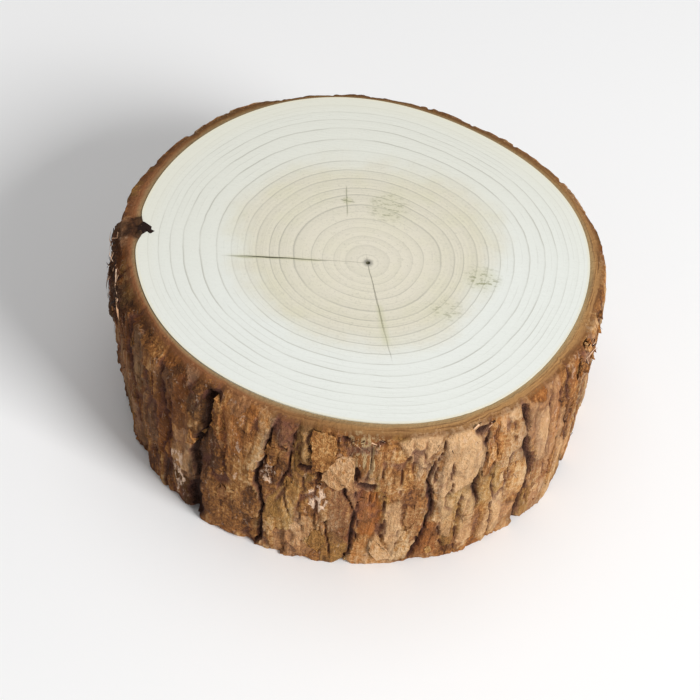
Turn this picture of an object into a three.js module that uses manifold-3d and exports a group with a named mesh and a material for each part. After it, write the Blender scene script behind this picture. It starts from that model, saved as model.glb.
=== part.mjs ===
// Wood slice: a round sawn across a young conifer trunk, flat on both faces, with its bark left on.
// Millimetres, +Z up. The origin is on the underside, below the middle of the upper face, and the deepest
// bark furrows face -Y.

import * as THREE from "three";
import { mergeVertices } from "three/addons/utils/BufferGeometryUtils.js";
import Module from "manifold-3d";

const wasm = await Module();
wasm.setup();

// Driving dimensions
const THICKNESS = 92; // between the two saw cuts
const WOOD_RADIUS = 95; // mean radius of the wood under the bark
const BARK_THICKNESS = 8; // mean thickness of the sawn bark
const DRYING_GAP = 0.3; // the bark has dried away from the wood by this much
const BARK_SHRINK = 0.4; // the dried bark stands this much lower than the sawn wood face
const TRUNK_LEAN = { x: 3.6, y: 2 }; // the trunk leaned, so its middle lies aside by this at the lower cut

// Outline of the wood: lobes as [number round the trunk, height, angle of a crest in degrees]
const OUTLINE_LOBES = [
  [2, 1.2, -3],
  [3, 0.3, 8],
  [4, 1.2, 22.5],
  [5, 0.4, 18],
];
const OUTLINE_POINTS = 180;
const EDGE_DENT = { angle: -175, depth: 3, spread: 4 }; // a dent in the edge, filled by bark

// Bark thickness changes round the trunk: swellings as [angle, height, spread in degrees]
const BARK_SWELLINGS = [
  [100, -2.4, 26],
  [160, 1.2, 24],
];
const BARK_BULGE = 1.6; // the plates stand out this much more at half height than at the cuts

// The same at the lower cut only, running out towards the upper one
const FOOT_SWELLINGS = [
  [-120, 3.6, 20],
  [-70, -1.6, 18],
  [-32, 2.6, 12],
];

// Furrows that split the bark into upright strips: angles in degrees at the top and at the bottom,
// sizes in millimetres, and the span of the height that each one runs through
const FRONT_FURROWS = [
  { top: -120.2, bottom: -125.5, width: 6, depth: 6, low: 0, high: 1 },
  { top: -105.2, bottom: -108.4, width: 4, depth: 3.6, low: 0, high: 1 },
  { top: -100, bottom: -102.5, width: 3.2, depth: 2.6, low: 0.6, high: 1 },
  { top: -86.3, bottom: -86.5, width: 3.6, depth: 3, low: 0, high: 0.75 },
  { top: -67.6, bottom: -69.9, width: 4, depth: 3.4, low: 0.1, high: 0.75 },
  { top: -56.1, bottom: -56.6, width: 4.4, depth: 4, low: 0.4, high: 1 },
  { top: -44.8, bottom: -40.2, width: 5, depth: 4.4, low: 0, high: 1 },
  { top: -30.8, bottom: -22, width: 4.4, depth: 4, low: 0, high: 1 },
];
const OTHER_FURROWS = 19; // spaced over the rest of the trunk, each one drawn a little differently
const FURROW_WIDTH = [3.4, 5.6];
const FURROW_DEPTH = [2.4, 4.6];
const FURROW_JITTER = 3.4; // degrees
const FURROW_LEAN = 5; // degrees between top and bottom
const FURROW_SWAYS = [
  // degrees to either side, and waves over the height
  [0.9, 1.3],
  [0.45, 3.1],
];
const FURROW_PINCH = { share: 0.35, waves: 2.3 }; // it widens and narrows along its height
const FURROW_FADE = 0.12; // share of the height over which a furrow runs out
const RIM_SHARE = 0.35; // share of a furrow's depth that is left at the upper cut
const RIM_START = 0.86; // share of the height where furrows begin to get shallower towards it
const FURROW_CUT_SHORT = { chance: 0.25, share: 0.3 }; // some miss this share at the top or bottom

// Each strip is broken across into scaly plates, whose lower ends lift off
const CRACKS = [
  { row: 6, low: 0.2, high: 0.38 },
  { row: 13, low: 0.58, high: 0.82 },
];
const CRACK_HALF_WIDTH = 1.6;
const CRACK_DEPTH = 1.8; // the deepest ones, the shallowest only show as a step
const CRACK_SLOPE = 10; // millimetres between the two sides of a strip
const CRACK_ZIGZAG = 1.5;
const PLATE_STEP = 0.9; // plates stand higher or lower than each other by up to this much
const PLATE_LIFT = 1.7;
const PLATE_TILT = 1.3;
const ROUGHNESS = 0.35;
const PLATE_COLUMNS = 6; // across a strip, both edges counted
const ROWS = 20;

// Pith, and the drying checks that run out from it, in the top face
const PITH = { x: 2.5, y: -9.7, radius: 1.3, depth: 1.6, sides: 12 };
const CHECKS = [
  { from: [-55.6, -16.5], to: [-5, -10.4], width: 1.1, widest: 0.4, depth: 9 },
  { from: [16.9, -61], to: [3.9, -14.4], width: 0.8, widest: 0.55, depth: 6 },
];
const CUT_OVERSHOOT = 2; // how far a cutting body stands above the face
const MERGE_DISTANCE = 1e-4;

// First numbers of the repeatable draws for each kind of feature
const SEEDS = { furrow: 0, crack: 500, crackDepth: 700, plate: 1000, roughness: 5000 };

const { degToRad, lerp, smoothstep } = THREE.MathUtils;

// A repeatable draw between 0 and 1 for each seed
function draw(seed) {
  const wave = Math.sin(seed * 12.9898 + 4.1414) * 43758.5453;
  return wave - Math.floor(wave);
}

function between([low, high], seed) {
  return lerp(low, high, draw(seed));
}

function polar(angle, radius) {
  return [radius * Math.cos(degToRad(angle)), radius * Math.sin(degToRad(angle))];
}

// A smooth bump of height 1 at its own angle
function bumpAt(angle, centre, spread) {
  const turn = ((((angle - centre) % 360) + 540) % 360) - 180;
  return Math.exp(-((turn / spread) ** 2));
}

function woodRadius(angle) {
  let radius = WOOD_RADIUS;
  for (const [count, height, crest] of OUTLINE_LOBES) {
    radius += height * Math.cos(degToRad(count * (angle - crest)));
  }
  return radius - EDGE_DENT.depth * bumpAt(angle, EDGE_DENT.angle, EDGE_DENT.spread);
}

function barkOuterRadius(angle, share) {
  let thickness = BARK_THICKNESS + BARK_BULGE * Math.sin(Math.PI * share);
  for (const [centre, height, spread] of BARK_SWELLINGS) {
    thickness += height * bumpAt(angle, centre, spread);
  }
  for (const [centre, height, spread] of FOOT_SWELLINGS) {
    thickness += height * bumpAt(angle, centre, spread) * (1 - share);
  }
  // The bark bridges the dent, so its outside follows the outline without it
  const bridged = EDGE_DENT.depth * bumpAt(angle, EDGE_DENT.angle, EDGE_DENT.spread);
  return woodRadius(angle) + bridged + thickness;
}

function solidOf(geometry) {
  const plain = geometry.clone();
  plain.deleteAttribute("normal");
  plain.deleteAttribute("uv");
  const merged = mergeVertices(plain, MERGE_DISTANCE);
  const mesh = new wasm.Mesh({
    numProp: 3,
    vertProperties: new Float32Array(merged.attributes.position.array),
    triVerts: new Uint32Array(merged.index.array),
  });
  mesh.merge();
  return new wasm.Manifold(mesh);
}

function geometryOf(solid) {
  const mesh = solid.getMesh();
  const geometry = new THREE.BufferGeometry();
  geometry.setAttribute("position", new THREE.BufferAttribute(mesh.vertProperties, 3));
  geometry.setIndex(new THREE.BufferAttribute(mesh.triVerts, 1));
  geometry.computeVertexNormals();
  return geometry;
}

// A drying check: a thin leaf-shaped slot, cut straight down from the top face
function checkCutter({ from, to, width, widest, depth }) {
  const start = new THREE.Vector2(...from);
  const along = new THREE.Vector2(...to).sub(start);
  const side = new THREE.Vector2(-along.y, along.x).setLength(width / 2);
  const middle = start.clone().addScaledVector(along, widest);
  const leaf = new THREE.Shape([
    start,
    middle.clone().sub(side),
    start.clone().add(along),
    middle.clone().add(side),
  ]);
  const slot = new THREE.ExtrudeGeometry(leaf, { depth: depth + CUT_OVERSHOOT, bevelEnabled: false });
  return solidOf(slot.translate(0, 0, THICKNESS - depth));
}

function pithCutter() {
  const height = PITH.depth + CUT_OVERSHOOT;
  const pit = new THREE.CylinderGeometry(PITH.radius, PITH.radius, height, PITH.sides);
  pit.rotateX(Math.PI / 2);
  return solidOf(pit.translate(PITH.x, PITH.y, THICKNESS - PITH.depth + height / 2));
}

function woodGeometry() {
  const outline = [];
  for (let i = 0; i < OUTLINE_POINTS; i += 1) {
    const angle = (360 * i) / OUTLINE_POINTS;
    outline.push(new THREE.Vector2(...polar(angle, woodRadius(angle))));
  }
  const round = new THREE.ExtrudeGeometry(new THREE.Shape(outline), {
    depth: THICKNESS,
    bevelEnabled: false,
  });
  let solid = solidOf(round).subtract(pithCutter());
  for (const check of CHECKS) {
    solid = solid.subtract(checkCutter(check));
  }
  return geometryOf(solid);
}

// All furrows in the order of their angles: the front ones, then the rest of the way round
function makeFurrows() {
  const furrows = FRONT_FURROWS.map((furrow, i) => ({ ...furrow, phase: draw(SEEDS.furrow + i) }));
  const last = FRONT_FURROWS.at(-1);
  const first = FRONT_FURROWS[0];
  const spacing = (first.top + 360 - last.top) / (OTHER_FURROWS + 1);
  for (let i = 1; i <= OTHER_FURROWS; i += 1) {
    const seed = SEEDS.furrow + 10 * i;
    const middle = last.top + spacing * i + FURROW_JITTER * (draw(seed + 1) - 0.5);
    const lean = FURROW_LEAN * (draw(seed + 2) - 0.5);
    furrows.push({
      top: middle + lean / 2,
      bottom: middle - lean / 2,
      width: between(FURROW_WIDTH, seed + 3),
      depth: between(FURROW_DEPTH, seed + 4),
      low: draw(seed + 5) < FURROW_CUT_SHORT.chance ? FURROW_CUT_SHORT.share : 0,
      high: draw(seed + 6) < FURROW_CUT_SHORT.chance ? 1 - FURROW_CUT_SHORT.share : 1,
      phase: draw(seed + 7),
    });
  }
  return furrows;
}

const FURROWS = makeFurrows();

function furrowAngle(index, share) {
  const turns = Math.floor(index / FURROWS.length);
  const { top, bottom, phase } = FURROWS[index % FURROWS.length];
  let angle = lerp(bottom, top, share) + 360 * turns;
  for (const [height, waves] of FURROW_SWAYS) {
    angle += height * Math.sin(2 * Math.PI * (waves * share + phase));
  }
  return angle;
}

function furrowWidth(index, share) {
  const { width, phase } = FURROWS[index % FURROWS.length];
  const wave = Math.sin(2 * Math.PI * (FURROW_PINCH.waves * share + 3 * phase));
  return width * (1 + FURROW_PINCH.share * wave);
}

function furrowDepth({ depth, low, high }, share) {
  const rise = low > 0 ? smoothstep(share, low - FURROW_FADE, low) : 1;
  const fall = high < 1 ? 1 - smoothstep(share, high, high + FURROW_FADE) : 1;
  const rim = lerp(1, RIM_SHARE, smoothstep(share, RIM_START, 1));
  return depth * rise * fall * rim;
}

function crackHeight(strip, crack, across) {
  const seed = SEEDS.crack + 20 * strip + 10 * crack;
  const { low, high } = CRACKS[crack];
  const slope = CRACK_SLOPE * (draw(seed + 1) - 0.5) * (2 * across - 1);
  const zigzag = CRACK_ZIGZAG * (2 * draw(seed + 2 + across) - 1);
  return between([low, high], seed) * THICKNESS + slope + zigzag;
}

// Heights of the rows at one place across a strip: they close up on each side of its cracks
function stripRows(strip, across) {
  const knots = [[0, 0]];
  CRACKS.forEach(({ row }, crack) => {
    const height = crackHeight(strip, crack, across);
    knots.push([row - 1, height - CRACK_HALF_WIDTH]);
    knots.push([row, height]);
    knots.push([row + 1, height + CRACK_HALF_WIDTH]);
  });
  knots.push([ROWS, THICKNESS]);
  const heights = [];
  for (let row = 0; row <= ROWS; row += 1) {
    const upper = knots.findIndex(([knotRow]) => knotRow >= row);
    const [rowB, heightB] = knots[upper];
    const [rowA, heightA] = knots[Math.max(upper - 1, 0)];
    heights.push(rowA === rowB ? heightB : lerp(heightA, heightB, (row - rowA) / (rowB - rowA)));
  }
  return heights;
}

// How far a scaly plate stands out at one place on it, with across and up both from 0 to 1
function plateRelief(strip, plate, across, up) {
  const seed = SEEDS.plate + 10 * (strip * (CRACKS.length + 1) + plate);
  const level = PLATE_STEP * (2 * draw(seed) - 1);
  const lift = PLATE_LIFT * draw(seed + 1) * (1 - up) ** 2;
  const tilt = PLATE_TILT * (draw(seed + 2) - 0.5) * (2 * across - 1);
  return level + lift + tilt;
}

// Columns of the bark's outer surface: a furrow's bottom, then the plates up to the next furrow
function barkColumns() {
  const columns = [];
  FURROWS.forEach((furrow, strip) => {
    columns.push({ strip, furrow });
    for (let i = 0; i < PLATE_COLUMNS; i += 1) {
      const across = i / (PLATE_COLUMNS - 1);
      columns.push({ strip, across, rows: stripRows(strip, across) });
    }
  });
  return columns;
}

function columnAngle({ strip, across }, share) {
  const here = furrowAngle(strip, share);
  if (across === undefined) {
    return here;
  }
  const next = furrowAngle(strip + 1, share);
  const toDegrees = THREE.MathUtils.RAD2DEG / (WOOD_RADIUS + BARK_THICKNESS);
  const nearEdge = here + (furrowWidth(strip, share) / 2) * toDegrees;
  const farEdge = next - (furrowWidth(strip + 1, share) / 2) * toDegrees;
  return lerp(nearEdge, farEdge, across);
}

// One point of the bark's outer surface, as [angle, radius, height]
function barkPoint(column, row, seed) {
  const { strip, across, furrow, rows } = column;
  const height = furrow ? (THICKNESS * row) / ROWS : rows[row];
  const share = height / THICKNESS;
  const angle = columnAngle(column, share);
  let radius = barkOuterRadius(angle, share) + ROUGHNESS * (2 * draw(seed) - 1);
  if (furrow) {
    return [angle, radius - furrowDepth(furrow, share), height];
  }
  const plate = CRACKS.filter((crack) => row >= crack.row).length;
  const crack = CRACKS.findIndex((one) => one.row === row);
  const lowest = plate === 0 ? 0 : rows[CRACKS[plate - 1].row];
  const highest = plate === CRACKS.length ? THICKNESS : rows[CRACKS[plate].row];
  radius += plateRelief(strip, plate, across, (height - lowest) / (highest - lowest));
  if (crack >= 0) {
    radius -= CRACK_DEPTH * draw(SEEDS.crackDepth + 10 * strip + crack) + PLATE_LIFT / 2;
  }
  return [angle, radius, height];
}

// The bark is turned as a plain ring, and every column and row of it is then moved to the rough surface
function barkGeometry() {
  const columns = barkColumns();
  const barkTop = THICKNESS - BARK_SHRINK;
  const inner = WOOD_RADIUS + DRYING_GAP;
  const outer = inner + BARK_THICKNESS;
  const profile = [new THREE.Vector2(inner, 0)];
  for (let row = 0; row <= ROWS; row += 1) {
    profile.push(new THREE.Vector2(outer, (THICKNESS * row) / ROWS));
  }
  profile.push(new THREE.Vector2(inner, THICKNESS), new THREE.Vector2(inner, 0));
  const ring = new THREE.LatheGeometry(profile, columns.length);
  const position = ring.attributes.position;
  for (let index = 0; index < position.count; index += 1) {
    const columnIndex = Math.floor(index / profile.length) % columns.length;
    const column = columns[columnIndex];
    const row = (index % profile.length) - 1;
    if (row >= 0 && row <= ROWS) {
      const seed = SEEDS.roughness + 100 * columnIndex + row;
      const [angle, radius, height] = barkPoint(column, row, seed);
      position.setXYZ(index, ...polar(angle, radius), Math.min(height, barkTop));
    } else {
      const angle = columnAngle(column, 0.5);
      const radius = woodRadius(angle) + DRYING_GAP;
      position.setXYZ(index, ...polar(angle, radius), row === ROWS + 1 ? barkTop : 0);
    }
  }
  ring.computeVertexNormals();
  return ring;
}

// Slants an upright body along the trunk, with its upper face left in place
function leaned(geometry) {
  const shear = new THREE.Matrix4();
  shear.makeShear(0, 0, 0, 0, -TRUNK_LEAN.x / THICKNESS, -TRUNK_LEAN.y / THICKNESS);
  return geometry.applyMatrix4(shear).translate(TRUNK_LEAN.x, TRUNK_LEAN.y, 0);
}

function makeMesh(name, geometry, colour, roughness) {
  const material = new THREE.MeshStandardMaterial({ color: colour, roughness, metalness: 0 });
  const mesh = new THREE.Mesh(leaned(geometry), material);
  mesh.name = name;
  return mesh;
}

const slice = new THREE.Group();
slice.name = "wood_slice";
slice.add(makeMesh("wood", woodGeometry(), 0xe2dfd2, 0.7));
slice.add(makeMesh("bark", barkGeometry(), 0x9a6d45, 0.9));

export default slice;
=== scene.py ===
"""Dresses a thick slice of conifer trunk: growth rings, drying checks and stains on the sawn faces, and
furrowed, flaking bark with loose fibres round it."""

import itertools
import math

import bmesh
import bpy
import numpy as np
from mathutils import Matrix, Vector


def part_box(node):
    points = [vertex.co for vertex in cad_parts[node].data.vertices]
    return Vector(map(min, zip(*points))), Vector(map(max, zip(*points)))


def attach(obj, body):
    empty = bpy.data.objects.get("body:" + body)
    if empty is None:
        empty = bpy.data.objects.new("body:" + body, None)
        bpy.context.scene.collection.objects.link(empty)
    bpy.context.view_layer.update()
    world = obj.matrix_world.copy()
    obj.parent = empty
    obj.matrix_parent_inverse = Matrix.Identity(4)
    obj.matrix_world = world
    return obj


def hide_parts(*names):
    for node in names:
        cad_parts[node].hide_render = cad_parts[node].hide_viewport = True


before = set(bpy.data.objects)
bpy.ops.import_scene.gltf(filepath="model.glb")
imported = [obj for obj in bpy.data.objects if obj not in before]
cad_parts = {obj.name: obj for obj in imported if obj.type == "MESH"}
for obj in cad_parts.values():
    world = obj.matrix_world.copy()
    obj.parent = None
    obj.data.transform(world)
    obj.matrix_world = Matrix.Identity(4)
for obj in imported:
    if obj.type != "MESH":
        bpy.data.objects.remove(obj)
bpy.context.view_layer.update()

bl_info = {
    "name": "Wood Slice",
    "version": (1, 0, 0),
    "blender": (4, 5, 0),
    "location": "3D View > Sidebar > Wood Slice",
    "description": "Builds a sawn slice of trunk with its bark",
    "category": "Add Mesh",
}

MM = 0.001
BODY = "root"

# Shape of the solids, in millimetres and degrees, which the fine pieces keep
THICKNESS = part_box("wood")[1].z / MM
WOOD_RADIUS = 95
BARK_THICKNESS = 8
BARK_RADIUS = WOOD_RADIUS + BARK_THICKNESS
DRYING_GAP = 0.3
SEEN_GAP = 0.12
THINNEST_BARK = 0.8
BARK_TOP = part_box("bark")[1].z / MM
TRUNK_LEAN = np.array([3.6, 2.0])
OUTLINE_LOBES = [(2, 1.2, -3), (3, 0.3, 8), (4, 1.2, 22.5), (5, 0.4, 18)]
EDGE_DENT = {"angle": -175, "depth": 3, "spread": 4}
BARK_SWELLINGS = [(100, -2.4, 26), (160, 1.2, 24)]
BARK_BULGE = 1.6
FOOT_SWELLINGS = [(-120, 3.6, 20), (-70, -1.6, 18), (-32, 2.6, 12)]
PITH = (2.5, -9.7)

# Furrows of the bark: angle at the top, angle at the bottom, width, depth, and the lowest and highest share
# of the height that each one runs through
FRONT_FURROWS = [
    (-120.2, -125.5, 6, 6, 0, 1),
    (-105.2, -108.4, 4, 3.6, 0, 1),
    (-100, -102.5, 3.2, 2.6, 0.6, 1),
    (-86.3, -86.5, 3.6, 3, 0, 0.75),
    (-67.6, -69.9, 4, 3.4, 0.1, 0.75),
    (-56.1, -56.6, 4.4, 4, 0.4, 1),
    (-44.8, -40.2, 5, 4.4, 0, 1),
    (-30.8, -22, 4.4, 4, 0, 1),
]
RIM_SHARE = 0.35
RIM_START = 0.86
OTHER_FURROWS = 19
FURROW_WIDTH = (3.4, 5.6)
FURROW_DEPTH = (2.4, 4.6)
FURROW_JITTER = 3.4
FURROW_LEAN = 5
FURROW_SWAYS = [(0.9, 1.3), (0.45, 3.1)]
FURROW_PINCH = (0.35, 2.3)
FURROW_FADE = 0.12
FURROW_CUT_SHORT = (0.25, 0.3)

# Cracks that break the strips of bark into plates
CRACK_SPANS = [(0.2, 0.38), (0.58, 0.82)]
CRACK_HALF_WIDTH = 1.6
CRACK_DEPTH = 1.8
CRACK_SLOPE = 10
CRACK_ZIGZAG = 1.5
PLATE_STEP = 0.9
PLATE_LIFT = 1.7
PLATE_TILT = 1.3
PLATE_COLUMNS = 6

# Where the draws of each kind start, and how many are kept for each flake, strand and tuft
SEEDS = {
    "furrow": 0, "crack": 500, "crack_depth": 700, "plate": 1000, "front_flake": 9000, "flake": 10000,
    "fringe": 20000, "tuft": 30000, "fibre": 50000, "chip": 70000,
}
FLAKE_DRAWS = 40
FIBRE_DRAWS = 10
TUFT_DRAWS = 1000

# How open the lower and the upper crack are in each of the front strips, and in all the others, and how
# light the strips are
FRONT_CRACKS = [(0, 0), (0, 0.4), (0.1, 0.3), (0, 0.5), (0.2, 0), (0, 0), (0, 0)]
OTHER_CRACKS = (0.4, 0.4)
FRONT_TONES = [0.5, 0.38, 0.37, 0.45, 0.54, 0.53, 0.47]
OTHER_TONE = 0.5
CRACKS_OPEN = np.array(FRONT_CRACKS + [OTHER_CRACKS] * (OTHER_FURROWS + 1))
STRIP_TONES = np.array(FRONT_TONES + [OTHER_TONE] * (OTHER_FURROWS + 1))

# Growth rings: share of the way from the pith to the edge, and how dark the line is
RINGS = [
    (0.10, 0.2), (0.15, 0.25), (0.20, 0.35), (0.25, 0.4), (0.33, 0.8), (0.39, 0.5), (0.43, 0.85),
    (0.49, 0.55), (0.54, 0.5), (0.595, 0.8), (0.66, 0.5), (0.73, 0.8), (0.80, 0.7), (0.855, 0.75),
    (0.905, 0.5), (0.95, 0.4), (1.0, 0),
]

# Points round and up the fine meshes, and millimetres in a degree on the bark
WOOD_STEPS = 288
BARK_STEPS = 760
BARK_ROWS = 104
MM_PER_DEGREE = math.pi / 180 * BARK_RADIUS

# Uneven waves over the bark: height, size of the bumps in millimetres and seed of each
WAVES = {
    "ragged": [(0.8, (6, 6, 14), 1), (0.8, (2, 2, 3.5), 2)],
    "level": [(2.2, 7, 3), (0.9, 2.5, 4)],
    "sway": [(1.6, (8, 8, 20), 5)],
    "split_rise": [(5, 9, 6)],
    "split_open": [(1, (11, 11, 22), 7)],
    "split_swell": [(0.6, (3, 3, 5), 45)],
    "crease": [(1, (5, 5, 18), 46)],
    "crease_open": [(1, (9, 9, 16), 47)],
    "frayed": [(0.25, 2.5, 8)],
    "warp": [(1.8, (5, 5, 9), 9)],
    "streaks": [(1, (1.3, 1.3, 13), 40), (0.7, (1.0, 1.0, 5), 41)],
    "grains": [(0.17, 1.5, 42)],
    "patchy": [(1, 6, 43)],
    "ridges": [(1, (4.5, 4.5, 60), 44)],
    "patch_edge": [(0.5, (3, 3, 6), 70), (0.6, 1.6, 71)],
    "saw_marks": [(0.12, 2, 90)],
    "rim_chips": [(0.7, 15, 91), (0.3, 4, 92)],
    "smears": [(1, 5, 93)],
    "clot_edge": [(0.3, 2.5, 94)],
    "clot_lumps": [(1.1, 1.8, 95)],
    "nibbles": [(1, 6, 96), (0.4, 2.5, 97)],
}

# Layers of scales on the bark: how many round the trunk, how tall and seed
SCALES = {"chip": (150, 7, 10), "split": (100, 44, 12), "big": (66, 30, 20), "small": (160, 11, 30)}
SCALE_JITTER = 0.8

# Numbers that mix seeds and whole numbers into repeatable draws
DRAW_STEP, DRAW_START, DRAW_SPREAD = 12.9898, 4.1414, 43758.5453
CELL_PRIMES = np.array([374761393, 668265263, 1274126177])
CELL_SEED = 97531
CELL_MIXERS = [(13, 1274126177), (15, 2246822519)]
CELL_LAST_SHIFT = 16
CELL_BITS = 0xFFFFFFFF
CELL_DRAW_BITS = 0xFFFFF


def draw(seed):
    """A repeatable draw between 0 and 1 for each seed."""
    wave = np.sin(np.asarray(seed, float) * DRAW_STEP + DRAW_START) * DRAW_SPREAD
    return wave - np.floor(wave)


def between(limits, seed):
    return limits[0] + (limits[1] - limits[0]) * draw(seed)


def smoothstep(value, low, high):
    part = np.clip((value - low) / (high - low), 0, 1)
    return part * part * (3 - 2 * part)


def polar(angle, radius):
    return radius * np.cos(np.radians(angle)), radius * np.sin(np.radians(angle))


def turn_between(angle, centre):
    """Signed turn from one angle to another, in degrees within half a turn."""
    return (angle - centre + 180) % 360 - 180


def bump_at(angle, centre, spread):
    return np.exp(-((turn_between(angle, centre) / spread) ** 2))


def dent(angle):
    return EDGE_DENT["depth"] * bump_at(angle, EDGE_DENT["angle"], EDGE_DENT["spread"])


def ring_radius(angle):
    """Radius of the last growth ring, before the edge was dented."""
    radius = WOOD_RADIUS
    for count, height, crest in OUTLINE_LOBES:
        radius = radius + height * np.cos(np.radians(count * (angle - crest)))
    return radius


def wood_radius(angle):
    return ring_radius(angle) - dent(angle)


def bark_base_radius(angle, share):
    thickness = BARK_THICKNESS + BARK_BULGE * np.sin(np.pi * share)
    for centre, height, spread in BARK_SWELLINGS:
        thickness = thickness + height * bump_at(angle, centre, spread)
    for centre, height, spread in FOOT_SWELLINGS:
        thickness = thickness + height * bump_at(angle, centre, spread) * (1 - share)
    return ring_radius(angle) + thickness


def lattice(cells, seed):
    """Repeatable draws between 0 and 1, one for each row of whole numbers."""
    mixed = (cells.astype(np.int64) @ CELL_PRIMES[: cells.shape[1]] + seed * CELL_SEED) & CELL_BITS
    for shift, factor in CELL_MIXERS:
        mixed = ((mixed ^ (mixed >> shift)) * factor) & CELL_BITS
    return ((mixed ^ (mixed >> CELL_LAST_SHIFT)) & CELL_DRAW_BITS) / CELL_DRAW_BITS


def soft_noise(points, size, seed):
    """Soft noise between -1 and 1 at each point, with bumps of the given size."""
    scaled = points / np.asarray(size, float)
    base = np.floor(scaled)
    part = scaled - base
    ease = part * part * (3 - 2 * part)
    total = np.zeros(len(points))
    for corner in itertools.product((0, 1), repeat=3):
        weight = np.prod(np.where(np.array(corner) == 1, ease, 1 - ease), axis=1)
        total += weight * lattice(base + np.array(corner), seed)
    return 2 * total - 1


def waves(points, name):
    """Height of the waves of this name at each point."""
    return sum(height * soft_noise(points, size, seed) for height, size, seed in WAVES[name])


def scales(angle, height, name):
    """Splits the bark into the uneven scales of one layer. Returns a draw for each point's scale, its
    distance to the scale's edge and its rise above the scale's middle."""
    columns, tall, seed = SCALES[name]
    wide = 2 * np.pi * BARK_RADIUS / columns
    across = (angle / 360 * columns) % columns
    up = height / tall
    nearest = np.full(len(angle), np.inf)
    second = np.full(len(angle), np.inf)
    number = np.zeros(len(angle))
    rise = np.zeros(len(angle))
    for step in itertools.product((-1, 0, 1), repeat=2):
        column = np.floor(across) + step[0]
        row = np.floor(up) + step[1]
        cell = np.column_stack([column % columns, row])
        middle_across = column + 0.5 + SCALE_JITTER * (lattice(cell, seed) - 0.5)
        middle_up = row + 0.5 + SCALE_JITTER * (lattice(cell, seed + 1) - 0.5)
        reach = np.hypot(across - middle_across, up - middle_up)
        closer = reach < nearest
        second = np.where(closer, nearest, np.minimum(second, reach))
        number = np.where(closer, lattice(cell, seed + 2), number)
        rise = np.where(closer, (up - middle_up) * tall, rise)
        nearest = np.where(closer, reach, nearest)
    return number, (second - nearest) * wide / 2, rise


def make_furrows():
    """All furrows in the order of their angles, one row each, with a phase for their sway at the end."""
    rows = [(*furrow, draw(SEEDS["furrow"] + i)) for i, furrow in enumerate(FRONT_FURROWS)]
    first, last = FRONT_FURROWS[0][0], FRONT_FURROWS[-1][0]
    spacing = (first + 360 - last) / (OTHER_FURROWS + 1)
    chance, missing = FURROW_CUT_SHORT
    for i in range(1, OTHER_FURROWS + 1):
        seed = SEEDS["furrow"] + 10 * i
        middle = last + spacing * i + FURROW_JITTER * (draw(seed + 1) - 0.5)
        lean = FURROW_LEAN * (draw(seed + 2) - 0.5)
        low = missing if draw(seed + 5) < chance else 0
        high = 1 - missing if draw(seed + 6) < chance else 1
        width = between(FURROW_WIDTH, seed + 3)
        depth = between(FURROW_DEPTH, seed + 4)
        ends = (middle + lean / 2, middle - lean / 2)
        rows.append((*ends, width, depth, low, high, draw(seed + 7)))
    return np.array(rows, float)


FURROWS = make_furrows()


def furrow_lines(share):
    """Angle, half width and depth of every furrow at each point's height."""
    top, bottom, width, depth, low, high, phase = FURROWS.T
    share = share[:, None]
    angle = bottom + (top - bottom) * share
    for height, bends in FURROW_SWAYS:
        angle = angle + height * np.sin(2 * np.pi * (bends * share + phase))
    pinch, bends = FURROW_PINCH
    half = width / 2 * (1 + pinch * np.sin(2 * np.pi * (bends * share + 3 * phase)))
    rise = np.where(low > 0, smoothstep(share, low - FURROW_FADE, np.maximum(low, 0.01)), 1)
    fall = np.where(high < 1, 1 - smoothstep(share, high, high + FURROW_FADE), 1)
    rim = 1 - (1 - RIM_SHARE) * smoothstep(share, RIM_START, 1)
    return angle, half, depth * rise * fall * rim


def crack_heights(strip, across):
    """Heights of the two cracks across each point's strip."""
    heights = []
    spot = across * (PLATE_COLUMNS - 1)
    left = np.minimum(np.floor(spot), PLATE_COLUMNS - 2)
    for crack, span in enumerate(CRACK_SPANS):
        seed = SEEDS["crack"] + 20 * strip + 10 * crack
        slope = CRACK_SLOPE * (draw(seed + 1) - 0.5) * (2 * across - 1)
        before = draw(seed + 2 + left / (PLATE_COLUMNS - 1))
        after = draw(seed + 2 + (left + 1) / (PLATE_COLUMNS - 1))
        zigzag = CRACK_ZIGZAG * (2 * (before + (after - before) * (spot - left)) - 1)
        heights.append(between(span, seed) * THICKNESS + slope + zigzag)
    return heights


# Sides of a furrow and the band of painted shade beside it, as shares of its half width, and the share
# of its depth that isn't filled with crumbs
FURROW_WALL = (0.15, 0.75)
FURROW_HALO = (0.4, 2)
FURROW_OPEN = 0.78

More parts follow.
